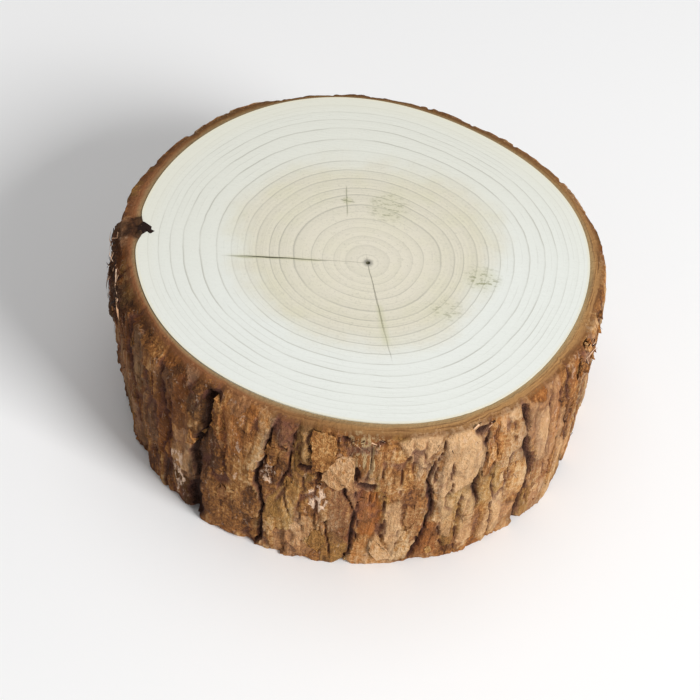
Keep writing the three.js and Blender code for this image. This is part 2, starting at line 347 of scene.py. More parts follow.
# Bark unlike the rest: corners as angle and height, colour, its amount, and how far it stands out
PATCHES = [
    ([(-105.3, 90), (-103.2, 94), (-99.9, 94), (-100.5, 82), (-102.3, 79), (-104.4, 84)], "plum", 0.9, 0.8),
    ([(-98.6, 94), (-96, 94), (-95.5, 72), (-97.7, 71)], "pale", 0.25, 0.9),
    ([(-87.8, 94), (-79.8, 94), (-81.2, 74), (-84, 66), (-86.6, 73)], "grey", 1.0, 0.3),
    ([(-76.4, 90), (-72.5, 94), (-66.6, 94), (-68.3, 85), (-70, 72), (-73.6, 77)], "pale", 1.0, 1.0),
    ([(-66.2, 90), (-63.4, 94), (-58.2, 90), (-57, 73), (-57.8, 57), (-62, 54), (-66, 50)],
     "pale", 1.0, 0.9),
    ([(-84.8, 59), (-80, 58), (-78.8, 41), (-80.3, 24), (-83.9, 25), (-84.8, 44)], "rust", 1.0, -0.5),
    ([(-81.1, 22), (-79.7, 26), (-78.3, 17), (-75.8, 9), (-79.2, 7), (-81.1, 13)], "pale", 1.0, 1.1),
    ([(-78.4, 49), (-75, 52), (-73.7, 25), (-76.2, 10), (-78.2, 25)], "pale", 0.9, 0.7),
    ([(-60.4, 50), (-57.6, 48), (-55.6, 10), (-59.3, 7), (-60.2, 31)], "pale", 0.6, 0.4),
    ([(-51.7, 38), (-48.3, 36), (-47.4, 10), (-54, 4), (-53.3, 15)], "pale", 0.8, 0.5),
    ([(-42, 82), (-37, 78), (-34.5, 42), (-39, 44)], "pale", 1.0, 0.6),
    ([(-66.3, 51), (-62.5, 48), (-61.3, 16), (-64.6, 19)], "pale", 0.6, 0.5),
    ([(-69.4, 32), (-65.2, 31), (-64.5, 5), (-70.1, 5)], "rust", 0.6, 0),
    ([(-90.8, 58), (-86.6, 60), (-86.3, 17), (-90, 14), (-91.2, 38)], "plum", 0.45, 0),
    ([(-32.6, 70), (-28, 64), (-26, 30), (-30, 28)], "pale", 0.5, 0.3),
    ([(-96.7, 53), (-94, 59), (-90.4, 46), (-92.6, 37), (-96.1, 42)], "fleck", 1.0, 0.2),
    ([(-131.4, 38), (-128, 44), (-127.4, 31), (-128.6, 5), (-131.4, 2)], "fleck", 1.0, 0.4),
    ([(-113.5, 72), (-111.5, 72), (-111, 46), (-113.5, 44)], "fleck", 0.5, 0),
    ([(-108, 66), (-103.4, 68), (-103, 50), (-107.5, 52)], "fleck", 0.7, 0),
    ([(-119, 93), (-108, 93), (-107.5, 74), (-112, 66), (-118, 78)], "rust", 0.3, 0),
    ([(-22, 66), (-18, 64), (-15, 22), (-19.5, 18)], "grey", 0.7, 0.3),
    ([(-37, 88), (-33.5, 88), (-30, 52), (-34, 50)], "rust", 0.5, 0.2),
    # Painted shade in and beside the deep furrow on the left
    ([(-121.6, 92), (-119.4, 92), (-121.8, 48), (-123.6, 4), (-127.2, 2), (-125, 46)], "dark", 0.75, 0),
    # Darker frayed bark on the upper left, partly painted shadow
    ([(-179, 90), (-160, 88), (-152, 93), (-158, 66), (-168, 58), (-176, 70)], "dark", 0.9, 1.6),
    ([(-24, 90), (-17, 91), (-16, 74), (-21, 68)], "plum", 0.8, 1.2),
]
# The dark kind also paints shade and shadow on the left flank
STAINS_AND_SHADE = ("grey", "plum", "rust", "pale", "fleck", "dark")

# Stains drawn on the side that the patches leave out: size, seed and amount, and the middle and spread of
# the side with the patches
DRAWN_STAIN = {"size": (12, 12, 26), "seed": 60, "amount": 0.7}
PATCHED_SIDE = {"angle": -90, "spread": 62}

# Thin upright cracks: angle and height of each end
SPLITS = [
    ((-84.9, 18), (-85, 58)),
    ((-78.3, 26), (-79, 58)),
    ((-59.8, 2), (-61, 48)),
    ((-95.6, 70), (-96, 91)),
    ((-71, 8), (-69.3, 34)),
    ((-50.5, 4), (-52.5, 60)),
    ((-90.5, 6), (-91.5, 34)),
    ((-63.4, 6), (-65, 30)),
    ((-67.8, 60), (-66.6, 90)),
    ((-63.9, 50), (-63.6, 74)),
    ((-38, 8), (-41, 60)),
    ((-34.5, 24), (-37, 84)),
    ((-31, 6), (-33.5, 40)),
    ((-47.5, 30), (-49, 86)),
    ((-53.5, 50), (-53, 88)),
    ((-133, 20), (-132.6, 84)),
    ((-139.5, 14), (-138, 78)),
    ((-146, 20), (-144.5, 84)),
]
SPLIT_HALF_WIDTH = 0.75
SPLIT_DEPTH = 1.7
DRAWN_SPLIT_DEPTH = 1.3
CREASE_DEPTH = 0.8

# Holes torn in the bark: angle, height, half width and half height in millimetres, and depth
HOLES = [
    (-121, 86.5, 3.2, 4.4, 6),
    (-124.8, 13, 5, 14, 5),
    (-92.5, 67, 4.4, 4, 4.5),
    (-95.6, 66.5, 6, 2.8, 4),
    (-82.8, 61, 4.4, 2.4, 2.8),
    (-85.5, 68, 1.8, 7, 2.6),
    (-57.4, 89, 4, 2.6, 3),
    (-88.4, 89.5, 1.8, 1.8, 2.6),
    (-80.4, 89.5, 1.6, 1.6, 2.2),
    (-102.2, 76.5, 3, 1.5, 2),
    (-45.5, 87, 2.4, 4.5, 3),
    (-44.8, 66, 1.9, 6, 2.6),
    (-42, 18, 2.4, 7, 3),
    (-32.6, 78, 2, 5, 2.4),
    (-23, 79, 3.5, 3, 3),
]

# Painted shade that darkens the bark's left flank, and bark with upright ridges
LEFT_PAINTED_SHADE = {"angle": -158, "spread": 36, "amount": 0.6}
RIDGED = {"angle": -146, "spread": 26, "height": 1.5}


def depth_inside(angle, height, corners):
    """How far each point lies inside an outline on the bark, in millimetres, below 0 outside it."""
    first = corners[0][0]
    across = np.radians(turn_between(angle, first)) * BARK_RADIUS
    outline = [(math.radians(turn_between(turn, first)) * BARK_RADIUS, up) for turn, up in corners]
    nearest = np.full(len(angle), np.inf)
    crossings = np.zeros(len(angle), int)
    for (x0, y0), (x1, y1) in zip(outline, outline[1:] + outline[:1]):
        wide, tall = x1 - x0, y1 - y0
        run = np.clip(((across - x0) * wide + (height - y0) * tall) / (wide**2 + tall**2), 0, 1)
        nearest = np.minimum(nearest, np.hypot(across - x0 - run * wide, height - y0 - run * tall))
        if tall:
            level = (y0 > height) != (y1 > height)
            crossings += level & (across < x0 + (height - y0) / tall * wide)
    return np.where(crossings % 2 == 1, nearest, -nearest)


def patch_amounts(angle, height, spot):
    """How much of each stain lies at each point, the seen patches and drawn ones on the far side, how far
    the patches stand out, and how dark the painted shadow line round those that do is. The dark kind paints
    shade and shadow on the left."""
    amounts = {}
    far_side = 1 - bump_at(angle, PATCHED_SIDE["angle"], PATCHED_SIDE["spread"]) ** 0.5
    for i, kind in enumerate(STAINS_AND_SHADE):
        drawn = soft_noise(spot, DRAWN_STAIN["size"], DRAWN_STAIN["seed"] + i)
        amounts[kind] = DRAWN_STAIN["amount"] * smoothstep(drawn, 0.25, 0.6) * far_side
    ragged = waves(spot, "patch_edge")
    standing = np.zeros(len(angle))
    shadow = np.zeros(len(angle))
    for corners, kind, amount, height_out in PATCHES:
        depth = depth_inside(angle, height, corners) + ragged
        amounts[kind] = np.maximum(amounts[kind], amount * smoothstep(depth, -0.6, 0.8))
        standing += height_out * smoothstep(depth, 0, 0.6)
        # Painted shadow: a dark line just outside the patches that stand out
        line = smoothstep(depth, -1.8, -0.3) * (1 - smoothstep(depth, -0.3, 0.5))
        shadow = np.maximum(shadow, min(1.2 * height_out, 1) * line)
    return amounts, standing, shadow


def seen_split_depth(angle, height, sway, swell):
    """Depth of the thin cracks that are seen, which sway and swell along their length."""
    depth = np.zeros(len(angle))
    for (low_angle, low), (high_angle, high) in SPLITS:
        part = np.clip((height - low) / (high - low), 0, 1)
        line = low_angle + (high_angle - low_angle) * part
        off = np.abs(np.radians(turn_between(angle, line)) * BARK_RADIUS + sway)
        ends = smoothstep(height, low - 3, low + 3) * (1 - smoothstep(height, high - 3, high + 3))
        depth = np.maximum(depth, SPLIT_DEPTH * ends * (1 - smoothstep(off / swell, 0.2, SPLIT_HALF_WIDTH)))
    return depth


def split_depth(angle, height, spot, ragged, swayed):
    """Depth of all thin cracks: drawn ones along tall scales, the seen ones, and creases."""
    _, edge, _ = scales(swayed, height + waves(spot, "split_rise"), "split")
    drawn = smoothstep(waves(spot, "split_open"), -0.1, 0.35) * (1 - smoothstep(edge, 0.1, 0.6))
    seen = seen_split_depth(angle, height, 1.5 * ragged, 1 + waves(spot, "split_swell"))
    crease = 1 - smoothstep(np.abs(waves(spot, "crease")), 0.02, 0.22)
    crease *= smoothstep(waves(spot, "crease_open"), -0.2, 0.3)
    return np.maximum.reduce([DRAWN_SPLIT_DEPTH * drawn, seen, CREASE_DEPTH * crease])


def hole_depth(angle, height, frayed):
    """Depth of the holes torn in the bark at each point."""
    depth = np.zeros(len(angle))
    for middle, rise, half_wide, half_tall, deep in HOLES:
        across = turn_between(angle, middle) * MM_PER_DEGREE / half_wide
        reach = np.hypot(across, (height - rise) / half_tall)
        depth = np.maximum(depth, deep * (1 - smoothstep(reach + frayed, 0.6, 1.05)))
    return depth


def bark_strips(bent, share):
    """The strip between two furrows that each point is in, how far across it the point is, how deep the
    furrows are there, and how deep the ones are that it lies beside."""
    centre, half, depth = furrow_lines(share)
    turn = turn_between(bent[:, None], centre)
    strip = np.argmin(np.where(turn >= 0, turn, 360), axis=1)
    every = np.arange(len(bent))
    sides = []
    for furrow, way in ((strip, 1), ((strip + 1) % len(FURROWS), -1)):
        sides.append((way * turn[every, furrow] * MM_PER_DEGREE, half[every, furrow], depth[every, furrow]))
    (here, half_here, _), (there, half_there, _) = sides
    across = np.clip((here - half_here) / (here + there - half_here - half_there), 0, 1)
    deepest = []
    for span in (FURROW_WALL, FURROW_HALO):
        walls = (deep * (1 - smoothstep(off / wide, *span)) for off, wide, deep in sides)
        deepest.append(np.maximum(*walls))
    return strip, across, FURROW_OPEN * deepest[0], deepest[1]


def bark_plates(strip, across, level):
    """How far the plates of each strip stand out, how deep the cracks between them are, and where each
    plate's draws start."""
    cracks = crack_heights(strip, across)
    plate = (level > cracks[0]).astype(int) + (level > cracks[1])
    lowest = np.choose(plate, [np.zeros(len(level)), *cracks])
    highest = np.choose(plate, [*cracks, np.full(len(level), THICKNESS)])
    up = np.clip((level - lowest) / (highest - lowest), 0, 1)
    seed = SEEDS["plate"] + 10 * (strip * 3 + plate)
    relief = PLATE_STEP * (2 * draw(seed) - 1) + PLATE_LIFT * draw(seed + 1) * (1 - up) ** 2
    relief *= 0.35 + 0.65 * CRACKS_OPEN[strip].max(axis=1)
    relief += PLATE_TILT * (draw(seed + 2) - 0.5) * (2 * across - 1)
    crack = np.zeros(len(level))
    for i, line in enumerate(cracks):
        deep = CRACK_DEPTH * draw(SEEDS["crack_depth"] + 10 * strip + i) + PLATE_LIFT / 2
        off = np.abs(level - line) / CRACK_HALF_WIDTH
        crack = np.maximum(crack, deep * CRACKS_OPEN[strip, i] * (1 - smoothstep(off, 0.1, 1)))
    return relief, crack, seed


def bark_surface(angle, height):
    """Outer radius of the bark at each angle and height, with what colours it, by name."""
    angle = np.asarray(angle, float)
    height = np.asarray(height, float)
    share = height / THICKNESS
    spot = np.column_stack([*polar(angle, BARK_RADIUS), height])
    chip, _, _ = scales(angle, height, "chip")
    ragged = waves(spot, "ragged")
    bent = angle + (ragged + 0.9 * (chip - 0.5)) / MM_PER_DEGREE
    swayed = bent + waves(spot, "sway") / MM_PER_DEGREE
    level = height + waves(spot, "level") + 2 * (chip - 0.5)
    warp = waves(spot, "warp")

    strip, across, furrow, beside = bark_strips(bent, share)
    relief, crack, seed = bark_plates(strip, across, level)
    big, big_edge, big_rise = scales(swayed + warp / MM_PER_DEGREE, level + 1.5 * warp, "big")
    small, small_edge, small_rise = scales(bent + 3, level, "small")
    stains_and_shade, standing, shadow = patch_amounts(angle, height, spot)

    fine = 0.7 * (big - 0.5) - 0.018 * big_rise + 0.35 * (small - 0.5) - 0.02 * small_rise
    fine *= (0.6 + 0.5 * draw(seed + 4)) * (1 - 0.4 * stains_and_shade["pale"])
    streaked = 0.22 + 0.35 * stains_and_shade["grey"] + 0.5 * stains_and_shade["dark"]
    fine += streaked * waves(spot, "streaks") + waves(spot, "grains")
    calm = 0.7 + 0.3 * smoothstep(height, 0, 7)
    calm *= 1 - 0.6 * smoothstep(height, THICKNESS - 8, THICKNESS)
    ridges = waves(spot, "ridges") * bump_at(angle, RIDGED["angle"], RIDGED["spread"])
    relief += calm * fine + standing + RIDGED["height"] * ridges
    relief *= 1 - 0.55 * smoothstep(height, THICKNESS - 7, THICKNESS)
    split = calm * split_depth(angle, height, spot, ragged, swayed)
    pit = hole_depth(angle, height, waves(spot, "frayed"))
    groove = np.maximum.reduce([furrow, crack, pit, split])
    radius = bark_base_radius(angle, share) + relief - groove

    patchy = smoothstep(waves(spot, "patchy"), -0.4, 0.5)
    rims = np.maximum(1 - smoothstep(big_edge, 0, 0.9), 0.5 * (1 - smoothstep(small_edge, 0, 0.7)))
    # Painted shade in a band beside the furrows
    halo = np.clip(beside / 3, 0, 1) * (0.2 + 0.8 * patchy)
    tone = STRIP_TONES[strip] + 0.4 * (draw(seed + 3) - 0.5) + 0.36 * (big - 0.5) + 0.26 * (small - 0.5)
    # Painted shade on the left flank
    tone -= LEFT_PAINTED_SHADE["amount"] * bump_at(angle, LEFT_PAINTED_SHADE["angle"], LEFT_PAINTED_SHADE["spread"])
    return {
        "radius": np.maximum(radius, wood_radius(angle) + DRYING_GAP + THINNEST_BARK),
        # Depth of the furrows, cracks and holes, which sets their painted shade
        "groove": np.clip(groove / 2.6, 0, 1),
        # Darker along the scales' borders, with painted shade beside the furrows and painted shadow round
        # standing patches
        "edge": np.maximum.reduce([patchy * rims, halo, shadow]),
        "tone": np.clip(tone, 0, 1),
        "rise": np.clip(0.5 + relief / 3, 0, 1),
        "kind": (7.3 * big) % 1,
        **stains_and_shade,
    }


class Value:
    """A node's output. Arithmetic on it adds Math nodes."""

    def __init__(self, shader, socket):
        self.shader = shader
        self.socket = socket

    def __add__(self, other):
        return self.shader.math("ADD", self, other)

    def __sub__(self, other):
        return self.shader.math("SUBTRACT", self, other)

    def __rsub__(self, other):
        return self.shader.math("SUBTRACT", other, self)

    def __mul__(self, other):
        return self.shader.math("MULTIPLY", self, other)

    def __truediv__(self, other):
        return self.shader.math("DIVIDE", self, other)

    def __pow__(self, other):
        return self.shader.math("POWER", self, other)

    def __abs__(self):
        return self.shader.math("ABSOLUTE", self)

    __radd__ = __add__
    __rmul__ = __mul__


class Shader:
    """A material whose nodes are added by calls."""

    def __init__(self, name):
        self.material = bpy.data.materials.new(name)
        self.material.use_nodes = True
        self.tree = self.material.node_tree
        self.tree.nodes.clear()
        self.place = self.add("TexCoord", output="Object")

    def add(self, kind, settings=None, inputs=None, output=0):
        """Adds a node, sets it up and returns one of its outputs, if it has any."""
        node = self.tree.nodes.new("ShaderNode" + kind)
        for name, value in (settings or {}).items():
            setattr(node, name, value)
        for name, value in (inputs or {}).items():
            if isinstance(value, Value):
                self.tree.links.new(value.socket, node.inputs[name])
            else:
                node.inputs[name].default_value = value
        return Value(self, node.outputs[output]) if node.outputs else None

    def math(self, operation, *values):
        return self.add("Math", {"operation": operation}, dict(enumerate(values)))

    def vector(self, operation, *values, output=0):
        return self.add("VectorMath", {"operation": operation}, dict(enumerate(values)), output)

    def dot(self, first, second):
        return self.vector("DOT_PRODUCT", first, second, output="Value")

    def attributes(self, *names):
        return [self.add("Attribute", {"attribute_name": name}, output="Fac") for name in names]

    def noise(self, size, detail=2, stretch=(1, 1, 1), roughness=0.5, place=None):
        """Noise between 0 and 1 with bumps of about this size in metres, stretched along the axes."""
        place = place or self.vector("DIVIDE", self.place, stretch)
        inputs = {"Vector": place, "Scale": 1 / size, "Detail": detail, "Roughness": roughness}
        return self.add("TexNoise", None, inputs, "Fac")

    def smooth(self, value, low, high):
        """0 up to low, 1 from high, and smooth between them."""
        settings = {"interpolation_type": "SMOOTHSTEP"}
        return self.add("MapRange", settings, {"Value": value, "From Min": low, "From Max": high})

    def band(self, value, low, full, full_end, high):
        """0 up to low and from high, 1 between full and full_end, and smooth between them."""
        return self.smooth(value, low, full) * (1 - self.smooth(value, full_end, high))

    def mix(self, amount, first, second):
        """Mixes two colours, each of them a node's output or three numbers."""
        first, second = (one if isinstance(one, Value) else (*one, 1) for one in (first, second))
        settings = {"data_type": "RGBA", "clamp_factor": True}
        return self.add("Mix", settings, {0: amount, 6: first, 7: second}, 2)

    def paint(self, colour, layers):
        """Mixes further colours over a first one, in order, each with its amount."""
        for amount, shade in layers:
            colour = self.mix(amount, colour, shade)
        return colour

    def ramp(self, value, stops):
        """A colour for each value, blended between stops of a value and three numbers."""
        colour = self.add("ValToRGB", None, {"Fac": value})
        elements = colour.socket.node.color_ramp.elements
        while len(elements) < len(stops):
            elements.new(1)
        for element, (place, shade) in zip(elements, stops):
            element.position = place
            element.color = (*shade, 1)
        return colour

    def bump(self, height, distance, strength):
        inputs = {"Height": height, "Distance": distance, "Strength": strength}
        return self.add("Bump", None, inputs, "Normal")

    def finish(self, colour, roughness, normal, specular):
        """Ends the tree in one surface."""
        inputs = {"Base Color": colour, "Roughness": roughness, "Normal": normal}
        surface = self.add("BsdfPrincipled", None, {**inputs, "Specular IOR Level": specular})
        self.add("OutputMaterial", None, {"Surface": surface})
        return self.material


# Where the heartwood reaches further out or less far: direction and share of the way to the edge, and the
# share that it reaches elsewhere
HEART_LOBES = [(52, 0.09), (-14, -0.02), (142, 0.07)]
HEART_REACH = 0.59

# Specks of mould on the upper face: place, reach and strength
MOULD_SPOTS = [(8, 25, 12, 0.6), (51, -10, 10, 0.8), (37, -30, 9, 0.5), (-9.8, 25.5, 3, 1.0)]

# Fine lines on the upper face: start, end, half width, strength and colour. The darkest ones are painted
# shade along the thin checks
HAIRLINES = [
    ((-60, -17.2), (-10, -11.2), 0.5, 0.6, "check_shade"),
    ((-24, -12.6), (4, -9.6), 0.35, 0.3, "check_shade"),
    ((0.5, -3), (13.6, -50), 0.36, 0.55, "check_shade"),
    ((9, -34), (17.4, -63), 0.36, 0.35, "check_shade"),
    ((8.5, -30), (15, -56), 2.6, 0.3, "heart_green"),
    ((-58, -16.8), (-14, -11.6), 1.5, 0.3, "heart_green"),
    ((-11.4, 36), (-8.8, 15), 0.45, 0.6, "mould"),
    ((-13.5, 25.9), (-6, 25), 0.5, 0.7, "mould"),
]


def hairline(shader, start, end, half_width):
    """1 along a straight line on the face, fading to 0 at its sides and ends."""
    along = Vector(end) - Vector(start)
    length = along.length * MM
    along.normalize()
    shift = shader.vector("SUBTRACT", shader.place, (start[0] * MM, start[1] * MM, 0))
    run = shader.dot(shift, (along.x, along.y, 0))
    off = shader.dot(shift, (-along.y, along.x, 0)) + 0.0012 * (shader.noise(0.007) - 0.5)
    side = 1 - shader.smooth(abs(off), 0.15 * half_width * MM, half_width * MM)
    return side * shader.band(run, 0, 0.2 * length, 0.8 * length, length)


def heart_amount(shader, reach, way):
    """1 in the heartwood and 0 in the sapwood, with an uneven edge between them."""
    edge = HEART_REACH + 0.22 * (shader.noise(0.018, 4, roughness=0.6) - 0.5)
    for angle, height in HEART_LOBES:
        facing = shader.math("MAXIMUM", shader.dot(way, (*polar(angle, 1), 0)), 0)
        edge = edge + facing ** 7 * height
    return 1 - shader.smooth(reach - edge, -0.15, 0.07)


def ring_lines(shader, year):
    """How dark the line at the end of each year is, with a fainter one inside it, and the late wood."""
    part = shader.math("FRACT", year)
    stops = [((i + 0.5) / len(RINGS), (dark,) * 3) for i, (_, dark) in enumerate(RINGS)]
    dark = shader.ramp(year / len(RINGS), stops)
    patchy = shader.smooth(shader.noise(0.022, 3), 0.3, 0.62)
    line = shader.band(part, 0.85, 0.95, 0.965, 1.0) * (dark * (0.3 + 0.7 * patchy))
    inner = shader.band(part, 0.40, 0.46, 0.46, 0.52) * shader.smooth(shader.noise(0.026, 3), 0.45, 0.65)
    return line + inner * 0.3, shader.smooth(part, 0.35, 0.9) * 0.14


def wood_material(look):
    shader = Shader("sawn_wood")
    reach, years, sunk = shader.attributes("reach", "year", "sunk")
    fine = shader.noise(0.006)
    year = years + look.ring_wave * (shader.noise(0.03) - 0.5) + 0.22 * look.ring_wave * (fine - 0.5)
    line, late = ring_lines(shader, year)
    from_pith = shader.vector("SUBTRACT", shader.place, (PITH[0] * MM, PITH[1] * MM, 0))
    from_pith = shader.vector("MULTIPLY", from_pith, (1, 1, 0))
    way = shader.vector("NORMALIZE", from_pith)
    heart = heart_amount(shader, reach, way)
    core = 1 - shader.smooth(reach, 0.08, 0.55)
    # Painted shade: the sapwood turns darker and warmer towards the back left
    painted_back_shade = shader.smooth(shader.dot(way, (-0.35, 0.94, 0)), -0.5, 0.8)
    speckle = shader.noise(0.0011, roughness=0.7)
    grain = shader.smooth(speckle, 0.50, 0.78) * (0.09 + 0.2 * heart)
    threads = shader.math("SINE", year * 19 + 3 * fine) * 0.5 + 0.5
    threads = threads * heart * 0.10 * shader.smooth(reach, 0.2, 0.4)
    blotch = shader.smooth(shader.noise(0.012, 3), 0.35, 0.7)
    heart_colour = shader.mix(blotch, look.heartwood, look.heart_tint)
    heart_colour = shader.mix(core * 0.5, heart_colour, look.heart_core)
    layers = [(painted_back_shade, look.sap_shade), (heart, heart_colour)]
    for amount in (grain, late * (0.25 + 0.5 * heart), threads, line * 0.75):
        layers.append((amount, look.ring_line))

    upper = shader.smooth(shader.dot(shader.place, (0, 0, 1)), 0.06, 0.08)
    specks = shader.smooth(shader.noise(0.0017, 3, stretch=(2, 1, 1), roughness=0.7), 0.5, 0.64)
    for x, y, radius, amount in MOULD_SPOTS:
        middle = (x * MM, y * MM, THICKNESS * MM)
        near = shader.vector("DISTANCE", shader.place, middle, output="Value")
        spot = (1 - shader.smooth(near, 0.3 * radius * MM, radius * MM)) * upper * amount
        layers += [(spot * specks, look.mould), (spot * 0.3, look.heart_green)]
    for start, end, width, amount, shade in HAIRLINES:
        layers.append((hairline(shader, start, end, width) * upper * amount, getattr(look, shade)))
    off = shader.vector("LENGTH", from_pith, output="Value") + 0.0012 * (shader.noise(0.0016) - 0.5)
    layers.append(((1 - shader.smooth(off, 0.0007, 0.0030)) * 0.85, look.pith))
    # The cream edge widens towards the back left with the painted shade there
    cream = shader.smooth(reach, 0.985, 0.996) * 0.7 + shader.smooth(reach, 0.88, 0.97) * painted_back_shade * 0.3
    # Painted shade on the walls of the checks, darker the deeper below the face
    layers += [(cream, look.edge_cream), (shader.smooth(sunk, 0.02, 0.5), look.check_shade)]
    saw = shader.noise(0.0009, 3, stretch=(9, 1, 1))
    normal = shader.bump(saw + 0.5 * line + 0.4 * speckle, 0.00025, 0.35)
    return shader.finish(shader.paint(look.sapwood, layers), 0.62 + 0.14 * speckle, normal, 0.25)


def bark_colour(shader, look):
    """Colour of the weathered outside of the bark, from its relief and the cast of each scale. Also returns
    how streaked and how gritty it is."""
    tone, rise, kind = shader.attributes("tone", "rise", "kind")
    streak = shader.smooth(shader.noise(0.0015, 3, stretch=(1, 1, 9), roughness=0.65), 0.3, 0.7)
    blotch = shader.smooth(shader.noise(0.008, 4, stretch=(1, 1, 2.5), roughness=0.6), 0.3, 0.7)
    grit = shader.smooth(shader.noise(0.0015, 3, roughness=0.65), 0.34, 0.66)
    shade = tone
    for value, amount in ((streak, 0.3), (blotch, 0.3), (grit, 0.32), (rise, 0.4)):
        shade = shade + amount * (value - 0.5)
    stops = [(0.02, look.umber), (0.28, look.brown), (0.5, look.fawn), (0.7, look.tan), (0.95, look.pale)]
    casts = [
        (0.0, 0.55, look.olive), (0.25, 0.45, look.rose), (0.5, 0.35, look.rust), (0.75, 0.3, look.plum),
    ]
    layers = []
    for start, amount, cast in casts:
        scale = shader.band(kind, start, start + 0.03, start + 0.15, start + 0.18)
        layers.append((scale * amount * (0.5 + 0.5 * blotch), cast))
    return shader.paint(shader.ramp(shade, stops), layers), streak, grit


# How much longer along the ring than through it the layers of the sawn bark run
LAYER_STRETCH = 22

# Height of the bark's fine bumps in metres, and its shine
BARK_BUMP = 0.0006
BARK_SPECULAR = 0.2


def sawn_bark_colour(shader, look, layer):
    """Colour of the sawn face of the bark: layers along the ring, redder on the left, lighter on the right.
    Also returns how far to the left a place is."""
    way = shader.vector("NORMALIZE", shader.vector("MULTIPLY", shader.place, (1, 1, 0)))
    stretched = {0: way, "Scale": BARK_RADIUS * MM / LAYER_STRETCH}
    along = shader.add("VectorMath", {"operation": "SCALE"}, stretched)
    through = shader.add("CombineXYZ", None, {"Z": layer * (BARK_THICKNESS * MM)})
    bands = shader.noise(0.0009, 3, roughness=0.6, place=shader.vector("ADD", along, through))
    right = shader.smooth(shader.dot(way, (0.87, -0.5, 0)), -0.1, 0.95)
    left = shader.smooth(shader.dot(way, (-0.9, -0.43, 0)), 0.3, 0.9)
    layers = [
        (left, look.sawn_red),
        (right * 0.68, look.tan),
        ((1 - shader.smooth(bands, 0.34, 0.54)) * (0.5 + 0.35 * right), look.sawn_dark),
        (shader.smooth(bands, 0.54, 0.7) * 0.5, look.sawn_light),
        ((1 - shader.smooth(layer, 0.0, 0.45)) * 0.7, look.cambium),
        (shader.smooth(layer, 0.62, 0.95) * 0.7, look.brown),
    ]
    return shader.paint(look.sawn, layers), left


def bark_material(look):
    shader = Shader("bark")
    groove, edge, cut, layer = shader.attributes("groove", "edge", "cut", "layer")
    grey, plum, rust, pale, fleck, dark = shader.attributes(*STAINS_AND_SHADE)
    colour, streak, grit = bark_colour(shader, look)
    speckled = shader.mix(grit * 0.5 + streak * 0.5 + 0.1, look.tan, look.pale)
    threads = shader.smooth(streak, 0.42, 0.62)
    torn = shader.noise(0.0024, 3, stretch=(1, 1, 2.4), roughness=0.7)
    bright = shader.smooth(torn + 0.13 * fleck, 0.61, 0.68)
    wavy = layer + 0.05 * (shader.noise(0.012) - 0.5)
    sawn, left = sawn_bark_colour(shader, look, wavy)
    worn = shader.smooth(wavy + 0.1 * left + 0.3 * (grit - 0.5) + 0.3 * (streak - 0.5), 0.62, 0.95)
    layers = [
        (pale * 0.85, shader.mix(0.3, speckled, look.rose)),
        (rust * 0.75, shader.mix(streak * 0.7 + 0.3, look.umber, look.rust)),
        (plum * 0.85, shader.mix(grit * 0.3, look.plum, look.brown)),
        (grey * 0.8, shader.mix(threads, look.brown, look.grey)),
        (bright * (0.25 + 0.7 * fleck), look.fleck),
        # Darker along the scales' borders, with painted shade beside the furrows and painted shadow round
        # standing patches
        (edge * 0.6 * (1 - 0.4 * pale), look.umber),
        # Painted shade in the furrows, cracks, holes and splits, darker the deeper they are, partly the
        # furrows' own plum brown
        (shader.smooth(groove, 0.08, 0.5) * 0.65, look.plum),
        (shader.smooth(groove, 0.35, 0.95) * 0.9, look.groove_shade),
        (cut * (1 - 0.85 * worn), sawn),
        # Painted shade towards the sawn ring's rounded outer edge, less on the left
        (cut * shader.smooth(wavy, 0.3, 0.85) * (0.5 - 0.3 * left), look.umber),
        # Dark patches: painted shade and shadow on the left flank, drawn dark bark round the back, and the
        # dark lump in the dent
        (dark * 0.92, shader.mix(streak * 0.2, look.furrow, look.brown)),
    ]
    normal = shader.bump(grit + 0.6 * streak, BARK_BUMP, 0.9 - 0.5 * cut)
    return shader.finish(shader.paint(colour, layers), 0.82 + 0.12 * grit, normal, BARK_SPECULAR)


def flake_material(look):
    shader = Shader("bark_flake")
    colour, streak, grit = bark_colour(shader, look)
    normal = shader.bump(grit + 0.6 * streak, BARK_BUMP, 0.9)
    return shader.finish(colour, 0.85 + 0.1 * grit, normal, BARK_SPECULAR)


def fibre_material(look):
    shader = Shader("bark_fibre")
    tone, = shader.attributes("tone")
    shade = shader.noise(0.004)
    stops = [
        (0.15, look.furrow), (0.5, look.umber), (0.72, look.plum), (0.8, look.rose), (0.97, look.fleck),
    ]
    colour = shader.ramp(tone + 0.2 * (shade - 0.5), stops)
    normal = shader.bump(shader.noise(0.0006), 0.0002, 0.5)
    return shader.finish(colour, 0.85 + 0.05 * shade, normal, BARK_SPECULAR)


def floor_material(look):
    shader = Shader("pale_floor")
    cloud = shader.noise(0.25)
    colour = shader.mix(cloud * 0.04, look.floor, (0.7, 0.7, 0.7))
    normal = shader.bump(cloud, 0.0005, 0.1)
    return shader.finish(colour, 0.85 + 0.05 * cloud, normal, 0.1)


def new_object(name, mesh_maker, material):
    """Makes an object from a bmesh, with its shape in its mesh."""
    mesh = bpy.data.meshes.new(name)
    mesh_maker.to_mesh(mesh)
    mesh_maker.free()
    mesh.materials.append(material)
    piece = bpy.data.objects.new(name, mesh)
    bpy.context.scene.collection.objects.link(piece)
    return piece


def set_attributes(mesh, values):
    for name, amounts in values.items():
        attribute = mesh.attributes.new(name, "FLOAT", "POINT")
        attribute.data.foreach_set("value", np.ascontiguousarray(amounts, np.float32))


def vertex_places(mesh):
    places = np.empty(len(mesh.vertices) * 3)
    mesh.vertices.foreach_get("co", places)
    return places.reshape(-1, 3)


def move_vertices(mesh, places):
    mesh.vertices.foreach_set("co", np.ascontiguousarray(places, np.float32).ravel())
    mesh.update()


